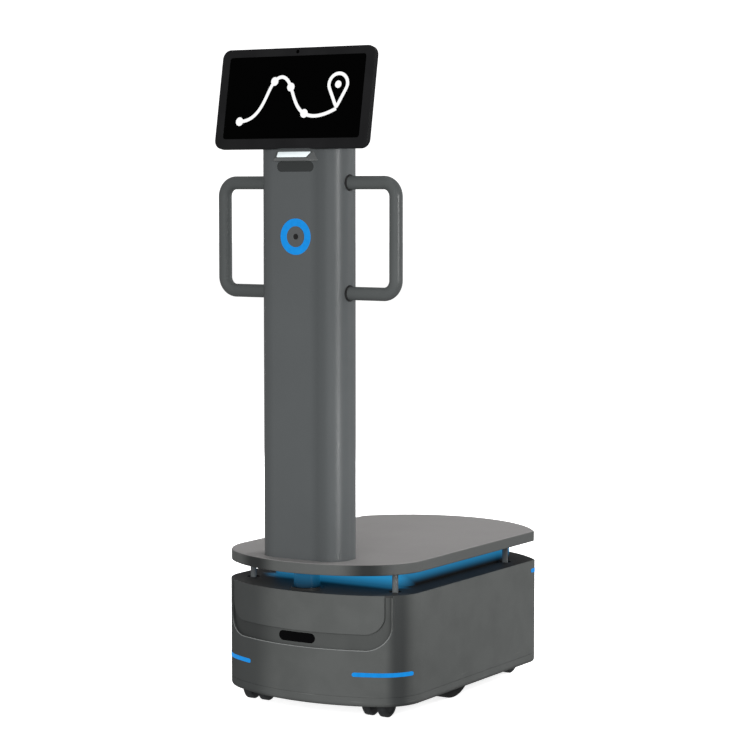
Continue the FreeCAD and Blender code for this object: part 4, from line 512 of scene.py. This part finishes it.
def dark_gloss(name, code, ior, roughness, coating, **constants):
    """A smooth near-black surface with faint wiping marks in its gloss."""
    material, tree, shader, place = new_finish(
        name, IOR=ior, Base_Color=hex_colour(code), Specular_IOR_Level=coating, **constants
    )
    film = noise(tree, stretch(tree, place, WIPE_STRETCH, WIPE_TURN), WIPE_PATCH, detail=4.0)
    wire(tree, shader, Roughness=spread(tree, film, roughness, roughness + WIPE_SPREAD))
    return material, tree, shader, place


tinted_acrylic, tree, shader, place = dark_gloss("acrylic_tinted", "#050506", ACRYLIC_IOR, 0.08, 0.12)
upper = ramp(tree, along(tree, place, "Z"), LOW_WINDOW, HIGH_WINDOW)
wire(tree, shader, Base_Color=mix(tree, upper, "#020203", "#353737"))
dress(tinted_acrylic, "camera_windows")
screen_glass, *_ = dark_gloss("glass_screen", "#010101", 1.5, 0.08, 0.03)
dress(screen_glass, "display_glass", "display_lens")

# %% [markdown]
# ## The scanner's cap
#
# The scanner turns inside a smoky infrared window. The light band behind it shines through, so its body
# looks blue-grey instead of black. See-through plastic could be used, but it takes many more samples to
# come out free of noise, so a faint light of its own stands for that.

# %% Scanner cap
SHINE_BEGINS, SHINE_FULL, SHINE = 0.032, 0.008, 0.3
head_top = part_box("lidar_head")[1].z
scanner_acrylic, tree, shader, place = dark_gloss(
    "acrylic_infrared", "#0C1A24", ACRYLIC_IOR, 0.1, 0.25, Emission_Color=hex_colour(GLOW)
)
shine = ramp(tree, along(tree, place, "Z"), head_top - SHINE_BEGINS, head_top - SHINE_FULL, to_high=SHINE)
wire(tree, shader, Emission_Strength=shine)
dress(scanner_acrylic, "lidar_head")

# %% [markdown]
# ## Adding pieces
#
# Each new piece is one mesh at the origin with its place in its points, as the engineering parts have. A
# helper turns the faces outwards, shades the flat faces flat and the round ones smooth, hands the piece to
# the body that carries it and names the finish that it goes with.

# %% Piece helper
SHARP = 35


def add_piece(name, mesh, material, body):
    """Close a bmesh as a piece that rides on one body, or on none."""
    bmesh.ops.remove_doubles(mesh, verts=mesh.verts, dist=1e-7)
    bmesh.ops.recalc_face_normals(mesh, faces=mesh.faces)
    data = bpy.data.meshes.new(name)
    mesh.to_mesh(data)
    mesh.free()
    data.polygons.foreach_set("use_smooth", [True] * len(data.polygons))
    data.set_sharp_from_angle(angle=math.radians(SHARP))
    data.materials.append(material)
    piece = bpy.data.objects.new(name, data)
    bpy.context.scene.collection.objects.link(piece)
    if body:
        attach(piece, body)
    print(name, "rides on", body, "with", len(data.polygons), "faces")
    return piece


print("edges over", SHARP, "degrees stay sharp")

# %% [markdown]
# ## Where the display stands
#
# The display leans back by ten degrees, so pieces on it are drawn upright first and then leaned. The glass
# is a flat sheet, so the middle of its box is its own middle, and the sheet's thickness follows from the
# box and the lean.

# %% The display's own frame
LEAN = math.radians(10)
glass_low, glass_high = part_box("display_glass")
glass_box = glass_high - glass_low
thickness = (glass_box.y * math.cos(LEAN) - glass_box.z * math.sin(LEAN)) / math.cos(2 * LEAN)
leaned = Matrix.Translation((glass_low + glass_high) / 2) @ Matrix.Rotation(-LEAN, 4, "X")
print("glass", round(glass_box.x, 4), "wide and", round(thickness, 4), "thick")

# %% [markdown]
# ## The screen's drawing
#
# The screen shows where the robot is on its round: a route with stops, and a pin at the room that it goes
# to. Pixels are far finer than the picture, so the drawing is a set of thin bright plates just in front of
# the glass, which stay sharp from any side. The route is a smooth curve with a round section, pressed flat.
# The stops are discs, and the pin is a disc whose lower half is drawn down to a point and then emptied with
# an inset.

# %% Route on the screen
ROUTE = (
    (-0.122, -0.046),
    (-0.076, -0.046),
    (-0.058, 0.044),
    (-0.01, 0.044),
    (0.006, -0.036),
    (0.06, -0.044),
    (0.1, -0.024),
)
ROUTE_RADIUS = 0.0036
PRESSED = 0.02
route_curve = bpy.data.curves.new("route", "CURVE")
route_curve.dimensions = "3D"
spline = route_curve.splines.new("NURBS")
spline.points.add(len(ROUTE) - 1)
for point, (x, z) in zip(spline.points, ROUTE):
    point.co = (x, 0.0, z, 1.0)
spline.order_u = 4
spline.use_endpoint_u = True
spline.resolution_u = 16
route_object = bpy.data.objects.new("route", route_curve)
route_line = bpy.data.meshes.new_from_object(route_object)
route_points = [vert.co.copy() for vert in route_line.vertices]
route_curve.bevel_depth = ROUTE_RADIUS
route_curve.bevel_resolution = 3
route_curve.use_fill_caps = True
route_tube = bpy.data.meshes.new_from_object(route_object)
drawing = bmesh.new()
drawing.from_mesh(route_tube)
bmesh.ops.scale(drawing, vec=(1.0, PRESSED, 1.0), verts=drawing.verts)
bpy.data.objects.remove(route_object)
bpy.data.curves.remove(route_curve)
bpy.data.meshes.remove(route_line)
bpy.data.meshes.remove(route_tube)
print("route points:", len(route_points))

# %% Stops
UPRIGHT = Matrix.Rotation(math.radians(90), 4, "X")
THIN = 0.00012
PINCH = 0.45
STOP = 0.0085
STOPS = (0.0, 0.3, 0.56, 0.8)


def thicken(mesh, faces, step):
    """Draw faces out by a step."""
    made = bmesh.ops.extrude_face_region(mesh, geom=faces)
    moved = [item for item in made["geom"] if isinstance(item, bmesh.types.BMVert)]
    bmesh.ops.translate(mesh, vec=step, verts=moved)


def add_disc(mesh, radius, x, z, hole=0.0, drawn=0.0):
    """A thin plate facing the front: a disc, or a ring where it has a hole, drawn down to a point."""
    spot = Matrix.Translation((x, 0.0, z)) @ UPRIGHT
    made = bmesh.ops.create_circle(mesh, cap_ends=True, segments=40, radius=radius, matrix=spot)
    for vert in made["verts"]:
        below = max(z - vert.co.z, 0.0) / radius
        vert.co.z -= drawn * below**3
        vert.co.x -= (vert.co.x - x) * min(drawn / radius, 1.0) * PINCH * below**2
    face = made["verts"][0].link_faces[0]
    plate = [face]
    if hole:
        rim = bmesh.ops.inset_region(
            mesh, faces=[face], thickness=radius - hole, use_even_offset=True, use_boundary=True
        )
        bmesh.ops.delete(mesh, geom=[face], context="FACES_ONLY")
        plate = rim["faces"]
    thicken(mesh, plate, (0.0, -THIN, 0.0))


for share in STOPS:
    stop = route_points[int(share * (len(route_points) - 1))]
    add_disc(drawing, STOP, stop.x, stop.z)
print("stops:", len(STOPS))

# %% Pin and pixels
PIN, PIN_LINE, PIN_DOT = 0.0245, 0.0068, 0.0072
POINT = 0.022
AHEAD = 0.0002
end = route_points[-1]
add_disc(drawing, PIN, end.x, end.z + PIN + POINT, hole=PIN - PIN_LINE, drawn=POINT)
add_disc(drawing, PIN_DOT, end.x, end.z + PIN + POINT)
on_glass = leaned @ Matrix.Translation((0.0, -thickness / 2 - AHEAD, 0.0))
bmesh.ops.transform(drawing, matrix=on_glass, verts=drawing.verts)
# The real grid of pixels is 0.2 mm, drawn at 1 mm so that it doesn't turn to noise.
pixels = lit_plastic(
    "screen_pixels_lit",
    "#0A0A0A",
    "#FDFDFD",
    weak=0.95,
    strong=1.05,
    beat=0.001,
    detail=0.0,
    Roughness=0.5,
    IOR=1.5,
)
add_piece("screen_drawing", drawing, pixels, "display")

# %% [markdown]
# ## The painted highlight on the hood
#
# The upper slope of the camera's hood carries a pale acrylic plate that glows a little: a painted highlight
# on the slope. It is a thin plate that narrows to the front as the slope does, with a fine bevel so that
# its edge catches light. A function makes it, because the cooling ribs later on are such plates too.

# %% The hood's slope
BROW = 0.0054
hood_low, hood_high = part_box("camera_hood")
slope_front = Vector((0.0, hood_low.y, hood_low.z + BROW))
slope_rear = Vector((0.0, hood_high.y, hood_high.z))
slope = slope_rear - slope_front
tilt = math.atan2(slope.z, slope.y)
on_slope = Matrix.Translation((slope_front + slope_rear) / 2) @ Matrix.Rotation(tilt, 4, "X")
print("slope", round(slope.length, 4), "long at", round(math.degrees(tilt)), "degrees")

# %% Hood plate with a painted highlight
HOOD_PLATE_WIDTH = 0.076
HOOD_MARGIN = 0.006


def rounded_plate(width, length, height, corner, rim, front=1.0):
    """A thin plate on z = 0 with round corners and a bevelled upper rim, narrowed at its front."""
    mesh = bmesh.new()
    bmesh.ops.create_grid(mesh, x_segments=1, y_segments=1, size=0.5)
    bmesh.ops.scale(mesh, vec=(width, length, 1.0), verts=mesh.verts)
    front_pair = [vert for vert in mesh.verts if vert.co.y < 0]
    bmesh.ops.scale(mesh, vec=(front, 1.0, 1.0), verts=front_pair)
    bmesh.ops.bevel(
        mesh, geom=mesh.verts[:], offset=corner, affect="VERTICES", segments=4, profile=0.5, material=-1
    )
    thicken(mesh, mesh.faces[:], (0.0, 0.0, height))
    upper = [edge for edge in mesh.edges if all(vert.co.z > height / 2 for vert in edge.verts)]
    bmesh.ops.bevel(mesh, geom=upper, offset=rim, affect="EDGES", segments=2, profile=0.5, material=-1)
    return mesh


hood_highlight_plate = rounded_plate(
    HOOD_PLATE_WIDTH, slope.length - HOOD_MARGIN, height=0.0006, corner=0.002, rim=0.0002, front=0.9
)
bmesh.ops.transform(hood_highlight_plate, matrix=on_slope, verts=hood_highlight_plate.verts)
# The plate's glow is a painted highlight.
highlight_acrylic = lit_plastic(
    "acrylic_painted_highlight",
    "#DCE4E6",
    "#EAF4F6",
    weak=0.4,
    strong=0.56,
    beat=0.02,
    detail=2.0,
    Roughness=0.35,
    IOR=ACRYLIC_IOR,
    Specular_IOR_Level=0.2,
)
add_piece("hood_highlight_plate", hood_highlight_plate, highlight_acrylic, "chassis")

# %% [markdown]
# ## The button's dimple
#
# The round button has a finger dimple with a dark rubber pad in it. The pad is a small dished disc: a
# circle, inset twice, whose middle is pushed in.

# %% Dimple pad
PAD_RADIUS = 0.0056
PAD_INSETS = (0.0012, 0.0018)
PAD_STEP = 0.0004
PAD_SINK = 0.0006
button_low, button_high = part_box("ring_button")
button_middle = (button_low + button_high) / 2
pad = bmesh.new()
bmesh.ops.create_circle(pad, cap_ends=True, segments=48, radius=PAD_RADIUS)
pad_face = pad.faces[:]
for inset in PAD_INSETS:
    bmesh.ops.inset_region(pad, faces=pad_face, thickness=inset, use_boundary=True)
    bmesh.ops.translate(pad, vec=(0.0, 0.0, -PAD_STEP), verts=pad_face[0].verts[:])
pad_spot = (button_middle.x, button_low.y + PAD_SINK, button_middle.z)
bmesh.ops.transform(pad, matrix=Matrix.Translation(pad_spot) @ UPRIGHT, verts=pad.verts)
thicken(pad, pad.faces[:], (0.0, PAD_STEP, 0.0))
add_piece("dimple_pad", pad, soft_rubber, "ring_button")

# %% [markdown]
# ## The lip of the recess
#
# A thin bead runs round the edge of the recess in the base's front, paler below as a painted highlight. A
# bead can be drawn as a curve with a bevel, but here a small ring is swept instead: pushed down, spun round
# one lower corner, pushed along, spun round the other and pushed up. It is swept flat and then laid on the
# base's front, whose plan is a wide arc that runs into two round corners.

# %% Sweep the bead
BEAD = 0.0009
BEAD_END = 0.004
RECESS_MARGIN = 0.028
RECESS_FLOOR = 0.1385
RECESS_ROUND = 0.046
UP_STEPS, CORNER_STEPS, ACROSS_STEPS = 4, 14, 40
STILL = (0.0, 0.0, 0.0)
base_low, base_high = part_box("base_shell")
recess_half = base_high.x - RECESS_MARGIN + BEAD
recess_corner = RECESS_ROUND + BEAD
corner_half = recess_half - recess_corner
corner_z = RECESS_FLOOR - BEAD + recess_corner
bead_top = base_high.z - BEAD_END
up_step = (bead_top - corner_z) / UP_STEPS
legs = (
    (STILL, 0.0, (0.0, 0.0, -up_step), UP_STEPS),
    ((-corner_half, 0.0, corner_z), -90.0, STILL, CORNER_STEPS),
    (STILL, 0.0, (2 * corner_half / ACROSS_STEPS, 0.0, 0.0), ACROSS_STEPS),
    ((corner_half, 0.0, corner_z), -90.0, STILL, CORNER_STEPS),
    (STILL, 0.0, (0.0, 0.0, up_step), UP_STEPS),
)
lip = bmesh.new()
start = Matrix.Translation((-recess_half, 0.0, bead_top))
bmesh.ops.create_circle(lip, cap_ends=True, segments=10, radius=BEAD, matrix=start)
end_ring = lip.edges[:]
for centre, angle, step, count in legs:
    swept = bmesh.ops.spin(
        lip,
        geom=end_ring + list({vert for edge in end_ring for vert in edge.verts}),
        cent=centre,
        axis=(0.0, 1.0, 0.0),
        dvec=step,
        angle=math.radians(angle),
        steps=count,
        use_merge=False,
    )
    end_ring = [item for item in swept["geom_last"] if isinstance(item, bmesh.types.BMEdge)]
bmesh.ops.contextual_create(lip, geom=end_ring)
print("bead swept to", len(lip.verts), "points")

# %% Lay the bead on the base's front
FRONT_RADIUS = 0.378
CORNER_RADIUS = 0.088
HIGHLIGHT_SPAN = 0.03
arc_y = base_low.y + FRONT_RADIUS
corner_x = base_high.x - CORNER_RADIUS
corner_y = arc_y - math.sqrt((FRONT_RADIUS - CORNER_RADIUS) ** 2 - corner_x**2)
meet_x = corner_x * FRONT_RADIUS / (FRONT_RADIUS - CORNER_RADIUS)
for vert in lip.verts:
    side = abs(vert.co.x)
    if side < meet_x:
        vert.co.y += arc_y - math.sqrt(FRONT_RADIUS**2 - side**2)
    else:
        vert.co.y += corner_y - math.sqrt(CORNER_RADIUS**2 - (side - corner_x) ** 2)
bmesh.ops.translate(lip, vec=(0.0, BEAD, 0.0), verts=lip.verts)
lip_abs, tree, shader, place, colour = moulded_plastic("lip_abs_painted_highlight", "#5E605F", "#595B5A", 0.4)
# A painted highlight pales the bead below the corners.
lip_highlight = ramp(tree, along(tree, place, "Z"), corner_z, corner_z - HIGHLIGHT_SPAN)
wire(tree, shader, Base_Color=mix(tree, lip_highlight, colour, "#8A8C8C"))
add_piece("recess_lip", lip, lip_abs, "chassis")

# %% [markdown]
# ## Screws
#
# Low socket screws hold the display's rear shell, the charging plate and the casters' plates. A screw is a
# turned disc: a circle drawn up into a head, its upper edge sloped, and a socket let in with an inset. One
# function adds a screw to a mesh, so all the screws of one body are one piece.

# %% Screw heads
SEAT = 0.0001
# A head's height and its insets, each with a rise, are shares of its radius.
HEAD_HEIGHT = 0.4
HEAD_INSETS = ((0.18, 0.1), (0.3, 0.0), (0.02, -0.24))


def add_screw(mesh, radius, matrix):
    """A low screw head along its own Z axis: a sloped edge, a flat rim and a socket."""
    made = bmesh.ops.create_circle(mesh, cap_ends=True, segments=18, radius=radius, matrix=matrix)
    face = made["verts"][0].link_faces[0]
    drawn = bmesh.ops.extrude_face_region(mesh, geom=[face])
    top = [item for item in drawn["geom"] if isinstance(item, bmesh.types.BMFace)][0]
    up = matrix.to_3x3() @ Vector((0.0, 0.0, radius * HEAD_HEIGHT))
    bmesh.ops.translate(mesh, vec=up, verts=top.verts[:])
    for inset, rise in HEAD_INSETS:
        bmesh.ops.inset_region(mesh, faces=[top], thickness=radius * inset, depth=radius * rise)


black_steel = bare_metal("steel_blackened", "#4A4B4D", "#38393B", 0.4, 0.003)
print("screws in", black_steel.name)

# %% Screws behind the display
GLASS_SINK = 0.0008
DISPLAY_RIM = 0.014
SHELL_SCREW = 0.0024
SHELL_SPOTS = (
    (-0.168, -0.045),
    (-0.168, 0.045),
    (0.168, -0.045),
    (0.168, 0.045),
    (-0.08, 0.09),
    (0.08, 0.09),
)
TO_REAR = Matrix.Rotation(math.radians(-90), 4, "X")
rear_face = DISPLAY_RIM - GLASS_SINK - thickness / 2 - SEAT
shell_screws = bmesh.new()
for x, z in SHELL_SPOTS:
    add_screw(shell_screws, SHELL_SCREW, leaned @ Matrix.Translation((x, rear_face, z)) @ TO_REAR)
add_piece("display_screws", shell_screws, black_steel, "display")

# %% Screws on the charging plate
REAR_ARC, REAR_ARC_Y = 0.3, 0.044
PLATE_SCREW, PLATE_SCREW_X = 0.0028, 0.067
PLATE_PROUD = 0.001
PLATE_MARGIN = 0.008
frame_screws = bmesh.new()
charge_low, charge_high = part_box("charge_plate")
for x in (-PLATE_SCREW_X, PLATE_SCREW_X):
    turn = math.asin(x / REAR_ARC)
    y = REAR_ARC_Y + (REAR_ARC + PLATE_PROUD - SEAT) * math.cos(turn)
    for z in (charge_low.z + PLATE_MARGIN, charge_high.z - PLATE_MARGIN):
        on_plate = Matrix.Translation((x, y, z)) @ Matrix.Rotation(-turn, 4, "Z") @ TO_REAR
        add_screw(frame_screws, PLATE_SCREW, on_plate)
print("plate screws:", len(frame_screws.faces), "faces")

# %% Screws under the casters' plates
CASTER_SCREW, SCREW_OUT = 0.0032, 0.025
CASTER_XS, CASTER_YS = (-0.142, 0.142), (-0.232, 0.22)
MOUNT_PLATE = 0.004
DOWNWARDS = Matrix.Rotation(math.radians(180), 4, "X")
under_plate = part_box("caster_mounts")[1].z - MOUNT_PLATE + SEAT
for x in CASTER_XS:
    for y in CASTER_YS:
        for dx in (-SCREW_OUT, SCREW_OUT):
            for dy in (-SCREW_OUT, SCREW_OUT):
                spot = Matrix.Translation((x + dx, y + dy, under_plate))
                add_screw(frame_screws, CASTER_SCREW, spot @ DOWNWARDS)
add_piece("frame_screws", frame_screws, black_steel, "chassis")

# %% [markdown]
# ## Cooling ribs
#
# The display's electronics warm its rear shell, and a row of upright ribs sheds the heat. Each rib is a
# small rounded bar, made as the hood's light was.

# %% Ribs on the display's rear shell
RIBS = 17
RIB_SPACING = 0.011
RIB_MIDDLE = 0.026
DISPLAY_BACK = 0.034
bulge_face = DISPLAY_BACK - GLASS_SINK - thickness / 2
ribs = bmesh.new()
for i in range(RIBS):
    rib = rounded_plate(width=0.0032, length=0.03, height=0.0012, corner=0.0015, rim=0.0004)
    x = (i - RIBS // 2) * RIB_SPACING
    spot = leaned @ Matrix.Translation((x, bulge_face - SEAT, RIB_MIDDLE)) @ TO_REAR
    bmesh.ops.transform(rib, matrix=spot, verts=rib.verts)
    rib_data = bpy.data.meshes.new("rib")
    rib.to_mesh(rib_data)
    rib.free()
    ribs.from_mesh(rib_data)
    bpy.data.meshes.remove(rib_data)
add_piece("display_ribs", ribs, frame_abs, "display")

# %% [markdown]
# ## Rubber buffers
#
# Each drive wheel hangs on an arm, and a waisted rubber buffer between the arm and its bracket carries the
# load. It is pressed shorter when the wheel rises and follows it when the wheel drops, which one rigid
# block can't show. So the buffer is turned again here from many rings: a profile is spun round its own
# axis.

# %% Turn the buffers
WAIST = 0.25
RINGS = 24
END_RIM = 0.92
END_SHARE = 0.03


def add_buffer(side):
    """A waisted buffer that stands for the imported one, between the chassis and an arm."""
    low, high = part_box(f"suspension_buffer_{side}")
    middle = (low + high) / 2
    radius = (high.x - low.x) / 2
    outline = [(0.0, 0.0), (radius * END_RIM, 0.0)]
    for i in range(RINGS + 1):
        share = END_SHARE + (1 - 2 * END_SHARE) * i / RINGS
        outline.append((radius * (1 - WAIST * math.sin(math.pi * share) ** 2), share))
    outline += [(radius * END_RIM, 1.0), (0.0, 1.0)]
    foot, length = low.z + SEAT, high.z - low.z - 2 * SEAT
    mesh = bmesh.new()
    points = [mesh.verts.new((middle.x + out, middle.y, foot + length * share)) for out, share in outline]
    edges = [mesh.edges.new(pair) for pair in zip(points, points[1:])]
    bmesh.ops.spin(
        mesh,
        geom=points + edges,
        cent=middle,
        axis=(0.0, 0.0, 1.0),
        dvec=STILL,
        angle=math.tau,
        steps=32,
        use_merge=True,
    )
    buffer = add_piece(f"rubber_buffer_{side}", mesh, soft_rubber, None)
    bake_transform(buffer)
    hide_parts(f"suspension_buffer_{side}")


for side in ("right", "left"):
    add_buffer(side)

# %% [markdown]
# ## The studio
#
# The photograph is a soft studio picture on white. The robot stands on a light table, a white acrylic sheet
# that glows, inside a white tent, so no hard shadow and no horizon shows from any side. Left as they are, a
# glowing table and tent would also light the robot from all round and wash out its tubes and corners. Their
# rays are therefore kept for the eye alone, and lamps do the lighting: one above, one in front, one on the
# long side, two narrow ones for the column's rounded edge, and one behind for whoever walks round the
# robot.

# %% Light table and tent
STUDIO = 40.0
TABLE_GLOW, TENT_GLOW, GLOW_SPREAD = 0.8, 1.0, 0.06


def light_stage(name, mesh, glow):
    """A white sheet of the studio that the eye sees and that lights nothing."""
    data = bpy.data.meshes.new(name)
    mesh.to_mesh(data)
    mesh.free()
    white = lit_plastic(
        name + "_white",
        "#F2F2F2",
        "#FFFFFF",
        weak=glow,
        strong=glow + GLOW_SPREAD,
        beat=0.5,
        detail=2.0,
        Roughness=0.9,
        Specular_IOR_Level=0.1,
    )
    data.materials.append(white)
    sheet = bpy.data.objects.new(name, data)
    bpy.context.scene.collection.objects.link(sheet)
    sheet.visible_diffuse = False
    sheet.visible_glossy = False
    sheet.visible_shadow = False
    print("studio:", name)


table_mesh = bmesh.new()
bmesh.ops.create_grid(table_mesh, x_segments=1, y_segments=1, size=STUDIO)
light_stage("light_table", table_mesh, TABLE_GLOW)
tent_mesh = bmesh.new()
bmesh.ops.create_icosphere(tent_mesh, subdivisions=4, radius=STUDIO)
light_stage("light_tent", tent_mesh, TENT_GLOW)

# %% Room
ROOM_LIGHT = 0.26
world = bpy.data.worlds.new("studio")
world.use_nodes = True
background = world.node_tree.nodes["Background"]
background.inputs["Color"].default_value = hex_colour("#FFFFFF")
background.inputs["Strength"].default_value = ROOM_LIGHT
bpy.context.scene.world = world
bpy.context.scene.view_settings.view_transform = "Standard"
print("room light", ROOM_LIGHT)

# %% Soft lamps
ROBOT_MIDDLE = (0.0, 0.0, 0.6)
# Each lamp's compass angle, with 0 straight ahead, then its height, distance, width and power.
SOFT_LAMPS = (
    ("ceiling_lamp", 0, 3.5, 0.3, 1.5, 31),
    ("front_lamp", 18, 0.9, 3.0, 1.2, 64),
    ("right_lamp", 147, 1.4, 3.4, 1.4, 148),
    ("rear_lamp", 236, 1.2, 4.0, 2.0, 100),
)


def add_lamp(name, kind, location, aim, power, **settings):
    """A lamp at one point that looks at another."""
    data = bpy.data.lights.new(name, kind)
    data.energy = power
    for setting, value in settings.items():
        setattr(data, setting, value)
    lamp = bpy.data.objects.new(name, data)
    lamp.location = location
    lamp.rotation_euler = (Vector(aim) - lamp.location).to_track_quat("-Z", "Y").to_euler()
    bpy.context.scene.collection.objects.link(lamp)
    print(name, power, "W")
    return lamp


for name, azimuth, height, distance, width, power in SOFT_LAMPS:
    turn = math.radians(azimuth)
    spot = (distance * math.sin(turn), -distance * math.cos(turn), height)
    lamp = add_lamp(name, "AREA", spot, ROBOT_MIDDLE, power, shape="SQUARE", size=width)
    lamp.visible_glossy = False

# %% Narrow lamps for the column's edge
LAMP_X, LAMP_Y = 2.88, -1.1
EDGE_X, EDGE_Y = 0.02, -0.28
# Each lamp's height, the height that it looks at, the angle of its cone and its power.
COLUMN_LAMPS = (("column_lamp", 1.1, 0.92, 32, 92), ("column_foot_lamp", 0.17, 0.51, 11, 68))
for name, height, aim_height, cone, power in COLUMN_LAMPS:
    add_lamp(
        name,
        "SPOT",
        (LAMP_X, LAMP_Y, height),
        (EDGE_X, EDGE_Y, aim_height),
        power,
        spot_size=math.radians(cone),
        spot_blend=0.8,
        shadow_soft_size=0.15,
    )
